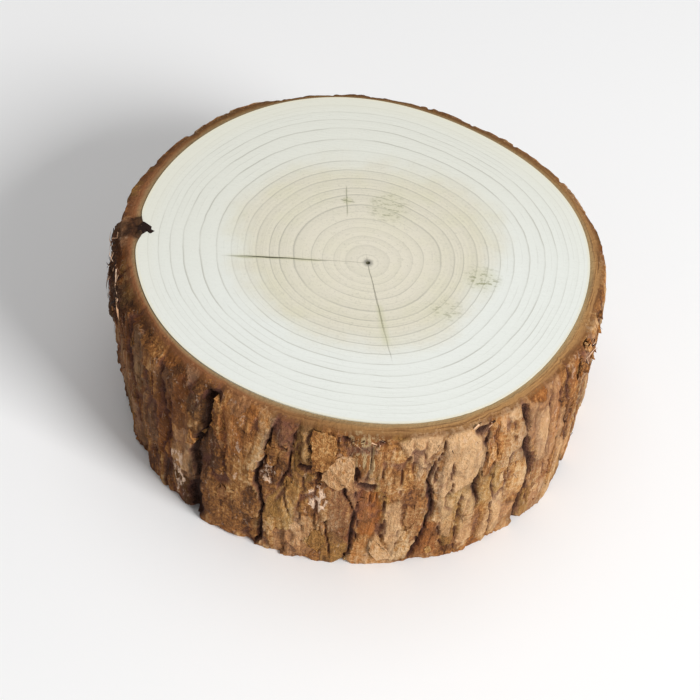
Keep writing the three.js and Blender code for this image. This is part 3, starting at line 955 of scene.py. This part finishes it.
def only(geometry, kind):
    """The items of one kind in what an operator made."""
    return [item for item in geometry if isinstance(item, kind)]


def put(vertices, places):
    """Moves each vertex to its place."""
    for vertex, place in zip(vertices, places):
        vertex.co = place


def add_leaf(maker, places):
    """Adds a face with its corners at these places, and returns the face."""
    corners = bmesh.ops.create_circle(maker, cap_ends=True, segments=len(places), radius=1)["verts"]
    put(corners, places)
    return corners[0].link_faces[0]


def turned(profile, steps, closed):
    """Bends a grid once round the upright axis, with its rows along a profile of radius and height."""
    rows = len(profile) if closed else len(profile) - 1
    maker = bmesh.new()
    bmesh.ops.create_grid(maker, x_segments=steps, y_segments=rows, size=1)
    for vertex in maker.verts:
        turn = math.pi * (vertex.co.x + 1)
        row = round((vertex.co.y + 1) / 2 * rows) % len(profile)
        radius, height = profile[row]
        vertex.co = (radius * math.cos(turn), radius * math.sin(turn), height)
    bmesh.ops.remove_doubles(maker, verts=maker.verts[:], dist=1e-4)
    bmesh.ops.recalc_face_normals(maker, faces=maker.faces[:])
    return maker


def settle(piece, sharp_angle):
    """Slants an upright piece along the trunk, turns its millimetres into metres and shades it smoothly,
    apart from edges sharper than the angle."""
    mesh = piece.data
    if not mesh.polygons:
        raise RuntimeError(f"{piece.name} came out empty")
    places = vertex_places(mesh)
    places[:, :2] += TRUNK_LEAN * (1 - places[:, 2:] / THICKNESS)
    move_vertices(mesh, places * MM)
    mesh.shade_smooth()
    mesh.set_sharp_from_angle(angle=math.radians(sharp_angle))
    return piece


def wood_reach(x, y):
    """Share of the way from the pith to the edge of the wood, for points in millimetres."""
    reach = np.hypot(x, y) / WOOD_RADIUS
    for _ in range(12):
        off_x, off_y = x - PITH[0] * (1 - reach), y - PITH[1] * (1 - reach)
        angle = np.degrees(np.arctan2(off_y, off_x))
        reach = np.hypot(off_x, off_y) / ring_radius(angle)
    return reach


def add_check_cutter(maker, points, width, widest, depth):
    """Adds a wedge that cuts a drying check: widest part of the way along, closing to a line below."""
    points = [Vector(point) for point in points]
    along = points[-1] - points[0]
    side = Vector((-along.y, along.x)).normalized()
    rim, keel = [], []
    for sign, line in ((1, points), (-1, points[-2:0:-1])):
        for point in line:
            share = (point - points[0]).dot(along) / along.length_squared
            swell = share / widest if share < widest else (1 - share) / (1 - widest)
            off = point + side * (sign * width / 2 * max(swell, 0.02) ** 0.7)
            rim.append((off.x, off.y, THICKNESS + 1))
            keel.append((point.x, point.y, THICKNESS - depth * max(swell, 0.1)))
    lower = bmesh.ops.extrude_face_region(maker, geom=[add_leaf(maker, rim)])["geom"]
    for vertex in only(lower, bmesh.types.BMVert):
        spot = min(keel, key=lambda place: math.dist(place[:2], vertex.co.xy))
        vertex.co = (*vertex.co.xy.lerp(Vector(spot[:2]), CHECK_TAPER), spot[2])
    bmesh.ops.recalc_face_normals(maker, faces=maker.faces[:])


# Drying checks: points along each, width, share of the length where it is widest, and depth, how far they
# close towards the line below, and the radius of the pit at the pith
LEFT_CHECK = [(-55.6, -16.4), (-48, -15.2), (-40, -14.4), (-31, -13.2), (-20, -12.2), (-12, -11.2)]
LOWER_CHECK = [(15.6, -57), (14.2, -51), (12.0, -43), (9.4, -34), (6.6, -24), (4.0, -14.6)]
CHECKS = [(LEFT_CHECK, 0.9, 0.35, 9), (LOWER_CHECK, 0.16, 0.6, 6)]
CHECK_TAPER = 0.85
PITH_RADIUS = 1.0


def carve(piece, cutters):
    """Cuts a closed bmesh out of a piece and keeps the result as its mesh."""
    tool = new_object("cutter", cutters, piece.data.materials[0])
    modifier = piece.modifiers.new("carve", "BOOLEAN")
    modifier.object = tool
    modifier.operation = "DIFFERENCE"
    modifier.solver = "EXACT"
    graph = bpy.context.evaluated_depsgraph_get()
    carved = bpy.data.meshes.new_from_object(piece.evaluated_get(graph))
    piece.modifiers.clear()
    plain = piece.data
    piece.data = carved
    bpy.data.meshes.remove(plain)
    tool_mesh = tool.data
    bpy.data.objects.remove(tool)
    bpy.data.meshes.remove(tool_mesh)


def make_wood(look):
    """The sawn round, with its checks and pith cut in."""
    edges = [0.0, *(share for share, _ in RINGS)]
    shares = [0.0]
    for inner, outer in zip(edges, edges[1:]):
        shares += [inner + (outer - inner) * step / 3 for step in (1, 2, 3)]
    top = [(share, THICKNESS) for share in shares]
    side = [(1.0, THICKNESS * step / 6) for step in (5, 4, 3, 2, 1)]
    bottom = [(share, 0.0) for share in reversed(shares)]
    maker = turned(top + side + bottom, WOOD_STEPS, closed=False)
    piece = new_object("wood_round", maker, wood_material(look))
    places = vertex_places(piece.data)
    share = np.hypot(places[:, 0], places[:, 1])
    angle = np.degrees(np.arctan2(places[:, 1], places[:, 0]))
    edge_x, edge_y = polar(angle, ring_radius(angle) - dent(angle) * smoothstep(share, 0.8, 1))
    x = PITH[0] * (1 - share) + edge_x * share
    y = PITH[1] * (1 - share) + edge_y * share
    move_vertices(piece.data, np.column_stack([x, y, places[:, 2]]))

    cutters = bmesh.new()
    for check in CHECKS:
        add_check_cutter(cutters, *check)
    spot = Matrix.Translation((*PITH, THICKNESS))
    bmesh.ops.create_icosphere(cutters, subdivisions=2, radius=PITH_RADIUS, matrix=spot)
    carve(piece, cutters)
    x, y, height = vertex_places(piece.data).T
    reach = wood_reach(x, y)
    year = np.interp(reach, edges, np.arange(len(edges)))
    # Depth below the face inside the checks, which sets their painted shade
    inside = (height < THICKNESS - 0.01) & (height > 0.6 * THICKNESS) & (reach < 0.97)
    set_attributes(piece.data, {"reach": reach, "year": year, "sunk": inside * (THICKNESS - height)})
    return settle(piece, sharp_angle=30)


# Shares of the bark's thickness that the rows on its sawn faces lie at
UPPER_LAYERS = (0.86, 0.7, 0.5, 0.3, 0.12, 0.0)
LOWER_LAYERS = (0.0, 0.4, 0.75)

# Extra wear of the upper edge on the left: angle, spread and depth
WORN_EDGE = {"angle": -145, "spread": 28, "depth": 1.4}

# A dark, raised lump that fills the dent in the wood's edge
CLOT = {"angle": -175.3, "spread": 4.6, "radius": 95, "reach": 7.5}


def make_bark(look):
    """The ring of bark: sawn above and below, furrowed and scaly outside."""
    profile = [(1 + layer, 0.0) for layer in LOWER_LAYERS]
    profile += [(2.0, THICKNESS * row / BARK_ROWS) for row in range(BARK_ROWS + 1)]
    profile += [(1 + layer, THICKNESS) for layer in UPPER_LAYERS]
    piece = new_object("bark_ring", turned(profile, BARK_STEPS, closed=True), bark_material(look))
    places = vertex_places(piece.data)
    layer = np.hypot(places[:, 0], places[:, 1]) - 1
    angle = np.degrees(np.arctan2(places[:, 1], places[:, 0]))
    height = places[:, 2]
    upper = height > THICKNESS - 0.5
    on_cut = layer < 0.995
    surface = bark_surface(angle, height)
    inner = wood_radius(angle) + SEEN_GAP
    radius = inner + layer * (surface["radius"] - inner)
    spot = np.column_stack([*polar(angle, BARK_RADIUS), 0 * height])

    chips = np.maximum(1.5 + waves(spot, "rim_chips"), 0.6)
    chips += WORN_EDGE["depth"] * bump_at(angle, WORN_EDGE["angle"], WORN_EDGE["spread"])
    wall_top = smoothstep(height, THICKNESS - 9, THICKNESS)
    near_top = np.where(on_cut, upper * smoothstep(layer, 0.45, 1), wall_top)
    near_base = np.where(on_cut, 0, 1 - smoothstep(height, 0, 6))
    nibbled = 0.3 + 1.8 * smoothstep(waves(spot, "nibbles"), -0.1, 0.6)
    level = height * BARK_TOP / THICKNESS - chips * near_top + nibbled * near_base
    level -= upper * (0.12 + waves(spot + 40 * layer[:, None], "saw_marks"))
    radius -= layer * chips * np.where(on_cut, upper, smoothstep(height, THICKNESS - 6, THICKNESS))
    smeared = 0.5 * smoothstep(height, THICKNESS - 2.5, THICKNESS)
    smeared *= smoothstep(waves(spot, "smears"), -0.3, 0.3)
    across = turn_between(angle, CLOT["angle"]) / CLOT["spread"]
    off = np.hypot(across, (radius - CLOT["radius"]) / CLOT["reach"])
    off += waves(spot + 9 * layer[:, None], "clot_edge")
    clot = on_cut * upper * (1 - smoothstep(off, 0.8, 1.1))
    level += clot * (0.9 + waves(spot + 30 * layer[:, None], "clot_lumps"))
    surface["dark"] = np.maximum(surface["dark"] * (1 - on_cut), clot)

    move_vertices(piece.data, np.column_stack([*polar(angle, radius), level]))
    surface.pop("radius")
    set_attributes(piece.data, {**surface, "cut": np.where(on_cut, 1, smeared), "layer": layer})
    return settle(piece, sharp_angle=55)


# Flakes that stand out in front: corners as angle and height, lift of the lower end, how much lighter
# than the bark beneath, and cast
FRONT_FLAKES = [
    ([(-95.8, 90), (-93, 90.6), (-90.2, 88), (-90.4, 77.6), (-92.9, 69.8), (-94.7, 70.2), (-95.4, 82)],
     3.8, 0.15, 0.2),
    ([(-93, 63.4), (-91.2, 75), (-88.8, 79.6), (-85.9, 79), (-86, 62), (-89.2, 61.6)], 2.4, 0.3, 0.33),
    ([(-81, 21), (-79.6, 25), (-78.2, 17), (-75.8, 9.5), (-79.2, 7), (-81, 13.5)], 1.4, 0.3, 0.33),
]

# Step along a flake's ragged edge, corners of a drawn flake, and how deep in the bark flakes start
RAGGED_STEP = 1.6
FLAKE_CORNERS = 6
FLAKE_ROOT = 0.6

# A fringe of small scraps on the right: angle, height, how far they spread and their number
FRINGE = {"angle": -18, "height": 80, "wide": 8, "tall": 10, "count": 16}


def drawn_flake(place, half_wide, half_tall, lift, lighter, seed):
    """A drawn scale: its outline, lift, how much lighter it is than the bark beneath, and cast."""
    corners = []
    for i in range(FLAKE_CORNERS):
        turn = 2 * math.pi * (i + 0.7 * (draw(seed + i) - 0.5)) / FLAKE_CORNERS
        size = 0.65 + 0.55 * draw(seed + FLAKE_CORNERS + i)
        across = math.degrees(size * math.cos(turn) * half_wide / BARK_RADIUS)
        corners.append((place[0] + across, place[1] + size * math.sin(turn) * half_tall))
    return ragged_outline(corners, seed + 36), lift, lighter, draw(seed + 37)


def ragged_outline(corners, seed):
    """Angles and heights along an outline with its edges made uneven, and how far up each point is."""
    points = []
    for (angle, height), (next_angle, next_height) in zip(corners, corners[1:] + corners[:1]):
        across = math.radians(next_angle - angle) * BARK_RADIUS
        steps = max(1, round(math.hypot(across, next_height - height) / RAGGED_STEP))
        for step in range(steps):
            part = step / steps
            points.append((angle + (next_angle - angle) * part, height + (next_height - height) * part))
    angles, heights = np.array(points).T
    steps = np.arange(len(points))
    angles = angles + 0.5 * (draw(seed + steps) - 0.5)
    heights = np.clip(heights + 1.1 * (draw(seed + 0.5 + steps) - 0.5), 0.5, BARK_TOP - 1.2)
    return angles, heights, (heights - heights.min()) / np.ptp(heights)


def add_flake(maker, outline, surface, lift, looks):
    """One scale of bark: rooted along its upper end, standing off at its lower end."""
    angles, heights, up = outline
    root = bmesh.ops.create_circle(maker, cap_ends=True, segments=len(angles), radius=1)["verts"]
    extruded = bmesh.ops.extrude_face_region(maker, geom=[root[0].link_faces[0]])["geom"]
    rim = only(extruded, bmesh.types.BMVert)
    front = only(extruded, bmesh.types.BMFace)
    typical = np.median(surface)
    outer = np.maximum(surface, typical - 0.5) + lift * (0.12 + 0.88 * (1 - up) ** 1.3)
    inner = np.minimum(surface, typical) - FLAKE_ROOT
    put(root, np.column_stack([*polar(angles, inner), heights + 0.8 * (1 - up)]))
    put(rim, np.column_stack([*polar(angles, outer), heights]))
    bmesh.ops.inset_individual(maker, faces=front, thickness=0.35, depth=0.1)
    for vertex in {*root, *rim, *front[0].verts}:
        for layer, amount in looks:
            vertex[layer] = amount


def make_flakes(look):
    """Scales of bark that stand off the plates: the ones seen in front, and drawn ones all round."""
    flakes = []
    for i, (corners, *rest) in enumerate(FRONT_FLAKES):
        flakes.append((ragged_outline(corners, SEEDS["front_flake"] + FLAKE_DRAWS * i), *rest))
    for i in range(look.flakes):
        seed = SEEDS["flake"] + FLAKE_DRAWS * i
        place = (360 * draw(seed + 30), 8 + (THICKNESS - 20) * draw(seed + 31))
        half_wide = 1.2 + 2.6 * draw(seed + 32) ** 2
        half_tall = half_wide * (1.4 + 1.8 * draw(seed + 33))
        lift = 0.3 + 0.9 * draw(seed + 34) ** 2
        lighter = 0.5 * draw(seed + 35) - 0.2
        flakes.append(drawn_flake(place, half_wide, half_tall, lift, lighter, seed))
    for i in range(FRINGE["count"]):
        seed = SEEDS["fringe"] + FLAKE_DRAWS * i
        angle = FRINGE["angle"] + FRINGE["wide"] * (2 * draw(seed + 30) - 1)
        height = FRINGE["height"] + FRINGE["tall"] * (2 * draw(seed + 31) - 1)
        half_wide = 1 + draw(seed + 32)
        half_tall = 1.6 + 2 * draw(seed + 33)
        lift = 0.6 + 1.5 * draw(seed + 34)
        lighter = 0.4 * draw(seed + 35) - 0.3
        flakes.append(drawn_flake((angle, height), half_wide, half_tall, lift, lighter, seed))

    angles, heights, _ = (np.concatenate(part) for part in zip(*(flake[0] for flake in flakes)))
    surface = bark_surface(angles, heights)
    ends = np.cumsum([len(flake[0][0]) for flake in flakes])[:-1]
    # Each flake takes the tone beneath it, painted shade of the left flank included
    beneath = zip(np.split(surface["radius"], ends), np.split(surface["tone"], ends))
    maker = bmesh.new()
    tones = maker.verts.layers.float.new("tone")
    kinds = maker.verts.layers.float.new("kind")
    for (outline, lift, lighter, kind), (radius, tone) in zip(flakes, beneath):
        add_flake(maker, outline, radius, lift, [(tones, np.median(tone) + lighter), (kinds, kind)])
    bmesh.ops.recalc_face_normals(maker, faces=maker.faces[:])
    piece = new_object("bark_flakes", maker, flake_material(look))
    set_attributes(piece.data, {"rise": np.full(len(piece.data.vertices), 0.5)})
    return settle(piece, sharp_angle=30)


# Tufts of loose bast: angle, height, spread in degrees and in height, number, longest strand, lightest tone
TUFTS = [
    (-165, 80, 11, 12, 80, 13, 1),
    (-160, 82, 9, 7, 14, 17, 1.2),
    (-84, 89, 4, 2, 16, 4, 1),
    (-57, 90, 3, 1.5, 8, 4, 1),
    (-20, 82, 4, 7, 30, 8, 1),
]

# A dark chip over the dent in the wood's edge: corners as angle and radius, height and tone
CHIP = [
    (-177.8, 94), (-176.2, 90.4), (-174.8, 88.8), (-173.6, 90.2), (-174.2, 92), (-172.6, 94.6), (-175, 96),
]
CHIP_HEIGHT = 1.6
CHIP_TONE = 0.1

# Steps along a loose strand, how far it may stand off the bark and the lightest tone of single ones
FIBRE_STEPS = 6
STRAND_OFF = 1.5
SINGLE_LIGHTEST = 0.8


def add_fibre(maker, tones, angle, height, root, length, lightest, seed):
    """One loose strand: a flat ribbon that lies along the bark and bends off it at its end."""
    draws = draw(seed + np.arange(9))
    out = Vector((*polar(angle, 1), 0))
    side = Vector((-out.y, out.x, 0))
    rise = Vector((0, 0, 1))
    heading = out * (0.04 + 0.16 * draws[0]) + side * (2 * draws[1] - 1) - rise * (1.1 * draws[2] - 0.3)
    heading.normalize()
    curl = side * (0.9 * draws[3] - 0.45) + rise * (0.6 * draws[4] - 0.35) + out * (0.24 * draws[7] - 0.14)
    width = (0.2 + 0.5 * draws[5] ** 3) * (0.7 + 0.025 * length)
    made = bmesh.ops.create_circle(maker, cap_ends=True, segments=4, radius=width)
    turn = heading.to_track_quat("Z", "Y").to_matrix().to_4x4()
    flat = Matrix.Rotation(2 * math.pi * draws[8], 4, "Z") @ Matrix.Diagonal((1, 0.35, 1, 1))
    place = Matrix.Translation(out * (root - 0.3) + rise * height) @ turn @ flat
    bmesh.ops.transform(maker, matrix=place, verts=made["verts"])
    face = made["verts"][0].link_faces[0]
    strand = list(made["verts"])
    for step in range(FIBRE_STEPS):
        face = bmesh.ops.extrude_discrete_faces(maker, faces=[face])["faces"][0]
        heading = (heading + curl * 0.3).normalized()
        middle = face.calc_center_median()
        for vertex in face.verts:
            thinner = middle + (vertex.co - middle) * (1 - 0.05 * step)
            vertex.co = thinner + heading * (length / FIBRE_STEPS)
        strand += face.verts[:]
    highest = root + STRAND_OFF * (0.3 + draws[0])
    for vertex in strand:
        vertex[tones] = lightest * draws[6]
        reach = vertex.co.xy.length
        held = min(reach, highest) / reach
        vertex.co = (vertex.co.x * held, vertex.co.y * held, min(max(vertex.co.z, 0.6), THICKNESS + 1))


def add_chip(maker, tones):
    """The dark chip: an uneven leaf with a rough top."""
    places = []
    for corner, following in zip(CHIP, CHIP[1:] + CHIP[:1]):
        for step in range(3):
            seed = SEEDS["chip"] + len(places)
            jitter = Vector((draw(seed) - 0.5, draw(seed + 1000) - 0.5)) * 0.7
            place = Vector(polar(*corner)).lerp(Vector(polar(*following)), step / 3) + jitter
            places.append((*place, BARK_TOP - 1))
    upper = bmesh.ops.extrude_face_region(maker, geom=[add_leaf(maker, places)])["geom"]
    fan = bmesh.ops.poke(maker, faces=only(upper, bmesh.types.BMFace))["verts"]
    for i, vertex in enumerate(only(upper, bmesh.types.BMVert) + fan):
        rough = 0.1 + 0.4 * draw(SEEDS["chip"] + 2000 + i) + 0.5 * (vertex in fan)
        vertex.co.z += 1 + CHIP_HEIGHT * rough
    for vertex in maker.verts:
        vertex[tones] = CHIP_TONE


def make_fibres(look):
    """The dark chip and loose strands of bast, in tufts where the bark is torn and singly all round."""
    fibres = []
    for tuft, (angle, height, wide, tall, count, longest, lightest) in enumerate(TUFTS):
        for i in range(count):
            seed = SEEDS["tuft"] + TUFT_DRAWS * tuft + FIBRE_DRAWS * i
            turn = angle + wide * (2 * draw(seed + 8) - 1)
            level = min(height + tall * (2 * draw(seed + 9) - 1), BARK_TOP - 0.6)
            fibres.append((turn, level, longest * (0.3 + 0.7 * draw(seed)), lightest, seed))
    for i in range(look.fibres):
        seed = SEEDS["fibre"] + FIBRE_DRAWS * i
        level = 3 + (THICKNESS - 6) * draw(seed + 8)
        fibres.append((360 * draw(seed + 9), level, 1.5 + 2.5 * draw(seed + 7), SINGLE_LIGHTEST, seed))
    angles, heights = np.array(fibres)[:, :2].T
    roots = bark_surface(angles, heights)["radius"]
    maker = bmesh.new()
    tones = maker.verts.layers.float.new("tone")
    add_chip(maker, tones)
    for (angle, height, *rest), root in zip(fibres, roots):
        add_fibre(maker, tones, angle, height, root, *rest)
    bmesh.ops.recalc_face_normals(maker, faces=maker.faces[:])
    return settle(new_object("bark_fibres", maker, fibre_material(look)), sharp_angle=50)


# Half the width of the floor, place and size of each lamp, and what the lamps shine at, in metres
FLOOR_SIZE = 4
LAMPS = {
    "key": ((1.75, -1.3, 1.5), 0.9),
    "top": ((-0.1, 0.3, 2.4), 2.0),
    "fill": ((-1.4, -1.4, 1.0), 1.5),
}
LAMP_AIM = Vector((0, 0, 0.05))


def make_stage(look):
    """Pale floor, soft lamps and the camera."""
    maker = bmesh.new()
    bmesh.ops.create_grid(maker, x_segments=1, y_segments=1, size=FLOOR_SIZE)
    floor = new_object("floor", maker, floor_material(look))
    for name, (place, size) in LAMPS.items():
        lamp = bpy.data.lights.new(name + "_lamp", "AREA")
        lamp.energy = getattr(look, name + "_power")
        lamp.size = size
        holder = bpy.data.objects.new(lamp.name, lamp)
        holder.location = place
        holder.rotation_euler = (LAMP_AIM - Vector(place)).to_track_quat("-Z", "Y").to_euler()
        bpy.context.scene.collection.objects.link(holder)
    world = bpy.data.worlds.new("studio")
    world.use_nodes = True
    sky = world.node_tree.nodes["Background"].inputs
    sky["Color"].default_value = (1, 1, 1, 1)
    sky["Strength"].default_value = look.sky
    bpy.context.scene.world = world
    bpy.context.scene.view_settings.view_transform = "Standard"

    lens = bpy.data.cameras.new("camera")
    lens.lens = look.lens
    camera = bpy.data.objects.new("camera", lens)
    eye = Vector(look.eye)
    aim = (Vector(look.aim) - eye).to_track_quat("-Z", "Y").to_matrix().to_4x4()
    camera.matrix_world = Matrix.Translation(eye) @ aim @ Matrix.Rotation(look.roll, 4, "Z")
    bpy.context.scene.collection.objects.link(camera)
    bpy.context.scene.camera = camera


def colour_property(name, description, default):
    return bpy.props.FloatVectorProperty(
        name=name, description=description, default=default, subtype="COLOR", size=3, min=0, max=1
    )


def number_property(name, description, default, **limits):
    return bpy.props.FloatProperty(name=name, description=description, default=default, **limits)


def place_property(name, description, default):
    return bpy.props.FloatVectorProperty(
        name=name, description=description, default=default, subtype="TRANSLATION", unit="LENGTH"
    )


def count_property(name, description, default):
    return bpy.props.IntProperty(name=name, description=description, default=default, min=0)


class WoodLook(bpy.types.PropertyGroup):
    """Colours of the sawn wood"""

    sapwood: colour_property("Sapwood", "Outer, pale wood", (0.80, 0.82, 0.77))
    # Painted shade: sapwood darker and warmer towards the back left
    sap_shade: colour_property("Sapwood in painted shade", "Outer wood at the far left", (0.769, 0.773, 0.696))
    heartwood: colour_property("Heartwood", "Inner wood", (0.745, 0.703, 0.572))
    heart_tint: colour_property("Heartwood tint", "Blotches in the inner wood", (0.735, 0.70, 0.542))
    heart_core: colour_property("Core", "Wood close to the pith", (0.78, 0.725, 0.607))
    heart_green: colour_property("Green stain", "Stain beside the checks", (0.50, 0.50, 0.26))
    ring_line: colour_property("Ring line", "Late wood at the end of each year", (0.37, 0.36, 0.30))
    mould: colour_property("Mould", "Specks of mould and knot traces", (0.24, 0.24, 0.15))
    pith: colour_property("Pith", "Middle of the trunk", (0.21, 0.20, 0.17))
    edge_cream: colour_property("Edge", "Newest wood at the edge", (0.80, 0.77, 0.62))
    # Painted shade inside the drying checks and along the hair-thin ones
    check_shade: colour_property("Check", "Inside of a drying check", (0.09, 0.085, 0.045))
    ring_wave: number_property("Ring wave", "How much the rings waver, in years", 0.34, min=0, max=1)


class BarkLook(bpy.types.PropertyGroup):
    """Colours of the bark and the number of loose bits on it"""

    # Also the colour of the dark patches, painted shade and shadow on the left flank, and of the darkest
    # fibres
    furrow: colour_property("Furrow", "Bottom of the furrows", (0.018, 0.008, 0.006))
    # Painted shade in the furrows, cracks and holes
    groove_shade: colour_property("Hollow", "Sides of the furrows", (0.050, 0.021, 0.015))
    umber: colour_property("Umber", "Darkest bark", (0.095, 0.036, 0.012))
    brown: colour_property("Brown", "Dark bark", (0.27, 0.108, 0.030))
    fawn: colour_property("Fawn", "Middle bark", (0.44, 0.195, 0.057))
    tan: colour_property("Tan", "Light bark", (0.58, 0.315, 0.12))
    pale: colour_property("Pale", "Lightest plates", (0.72, 0.47, 0.25))
    rust: colour_property("Rust", "Fresh bark under a lost scale", (0.46, 0.140, 0.026))
    olive: colour_property("Olive", "Bark with a green cast", (0.36, 0.205, 0.052))
    rose: colour_property("Rose", "Bark with a pink cast", (0.60, 0.34, 0.19))
    plum: colour_property("Plum", "Purplish bark", (0.15, 0.056, 0.042))
    grey: colour_property("Grey", "Weathered fibres", (0.54, 0.385, 0.20))
    fleck: colour_property("Fleck", "Torn, pale fibres", (0.88, 0.62, 0.44))
    sawn: colour_property("Sawn bark", "Sawn face of the bark", (0.185, 0.086, 0.027))
    sawn_red: colour_property("Sawn red", "Redder stretches of the sawn bark", (0.27, 0.105, 0.042))
    sawn_light: colour_property("Sawn light", "Light layers in the sawn bark", (0.32, 0.175, 0.065))
    sawn_dark: colour_property("Sawn dark", "Dark layers in the sawn bark", (0.14, 0.058, 0.020))
    cambium: colour_property("Cambium", "Line between wood and bark", (0.36, 0.27, 0.14))
    flakes: count_property("Flakes", "Drawn scales that stand off", 55)
    fibres: count_property("Fibres", "Single loose strands", 220)


class StageLook(bpy.types.PropertyGroup):
    """Floor, lamps and camera"""

    floor: colour_property("Floor", "Colour of the floor", (0.94, 0.94, 0.94))
    key_power: number_property("Key lamp", "From the right", 64, subtype="POWER")
    top_power: number_property("Top lamp", "From above", 15, subtype="POWER")
    fill_power: number_property("Fill lamp", "From the left", 0.8, subtype="POWER")
    sky: number_property("Sky", "Light from all round", 0.27, min=0, soft_max=1)
    eye: place_property("Eye", "Where the camera stands", (0, -0.4509, 0.5535))
    aim: place_property("Aim", "What the camera looks at", (0.0, -0.018, 0.044))
    roll: number_property("Roll", "Turn of the camera about its view", math.radians(7.8), subtype="ANGLE")
    lens: number_property("Lens", "Focal length", 78, unit="CAMERA")


class WOODSLICE_OT_wood(bpy.types.Operator):
    """Build the sawn round"""

    bl_idname = "woodslice.wood"
    bl_label = "Wood"

    def execute(self, context):
        piece = make_wood(context.scene.wood_look)
        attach(piece, BODY)
        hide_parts("wood")
        return {"FINISHED"}


class WOODSLICE_OT_bark(bpy.types.Operator):
    """Build the ring of bark"""

    bl_idname = "woodslice.bark"
    bl_label = "Bark"

    def execute(self, context):
        piece = make_bark(context.scene.bark_look)
        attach(piece, BODY)
        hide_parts("bark")
        return {"FINISHED"}


class WOODSLICE_OT_flakes(bpy.types.Operator):
    """Build the scales that stand off the bark"""

    bl_idname = "woodslice.flakes"
    bl_label = "Flakes"

    def execute(self, context):
        piece = make_flakes(context.scene.bark_look)
        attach(piece, BODY)
        return {"FINISHED"}


class WOODSLICE_OT_fibres(bpy.types.Operator):
    """Build the loose strands on the bark"""

    bl_idname = "woodslice.fibres"
    bl_label = "Fibres"

    def execute(self, context):
        piece = make_fibres(context.scene.bark_look)
        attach(piece, BODY)
        return {"FINISHED"}


class WOODSLICE_OT_stage(bpy.types.Operator):
    """Build the floor, the lamps and the camera"""

    bl_idname = "woodslice.stage"
    bl_label = "Stage"

    def execute(self, context):
        make_stage(context.scene.stage_look)
        return {"FINISHED"}


class WOODSLICE_PT_panel(bpy.types.Panel):
    """Lists the pieces of the wood slice"""

    bl_label = "Wood Slice"
    bl_idname = "WOODSLICE_PT_panel"
    bl_space_type = "VIEW_3D"
    bl_region_type = "UI"
    bl_category = "Wood Slice"

    def draw(self, context):
        for operator in OPERATORS:
            self.layout.operator(operator.bl_idname)
        for group in LOOKS:
            look = getattr(context.scene, group)
            for name in look.__annotations__:
                self.layout.prop(look, name)


OPERATORS = (
    WOODSLICE_OT_wood, WOODSLICE_OT_bark, WOODSLICE_OT_flakes, WOODSLICE_OT_fibres, WOODSLICE_OT_stage,
)
LOOKS = {"wood_look": WoodLook, "bark_look": BarkLook, "stage_look": StageLook}
CLASSES = (*LOOKS.values(), *OPERATORS, WOODSLICE_PT_panel)


def register():
    for one in CLASSES:
        bpy.utils.register_class(one)
    for name, group in LOOKS.items():
        setattr(bpy.types.Scene, name, bpy.props.PointerProperty(type=group))


def unregister():
    for name in LOOKS:
        delattr(bpy.types.Scene, name)
    for one in reversed(CLASSES):
        bpy.utils.unregister_class(one)


def main():
    register()
    for operator in OPERATORS:
        group, name = operator.bl_idname.split(".")
        getattr(getattr(bpy.ops, group), name)()


if __name__ == "__main__":
    main()
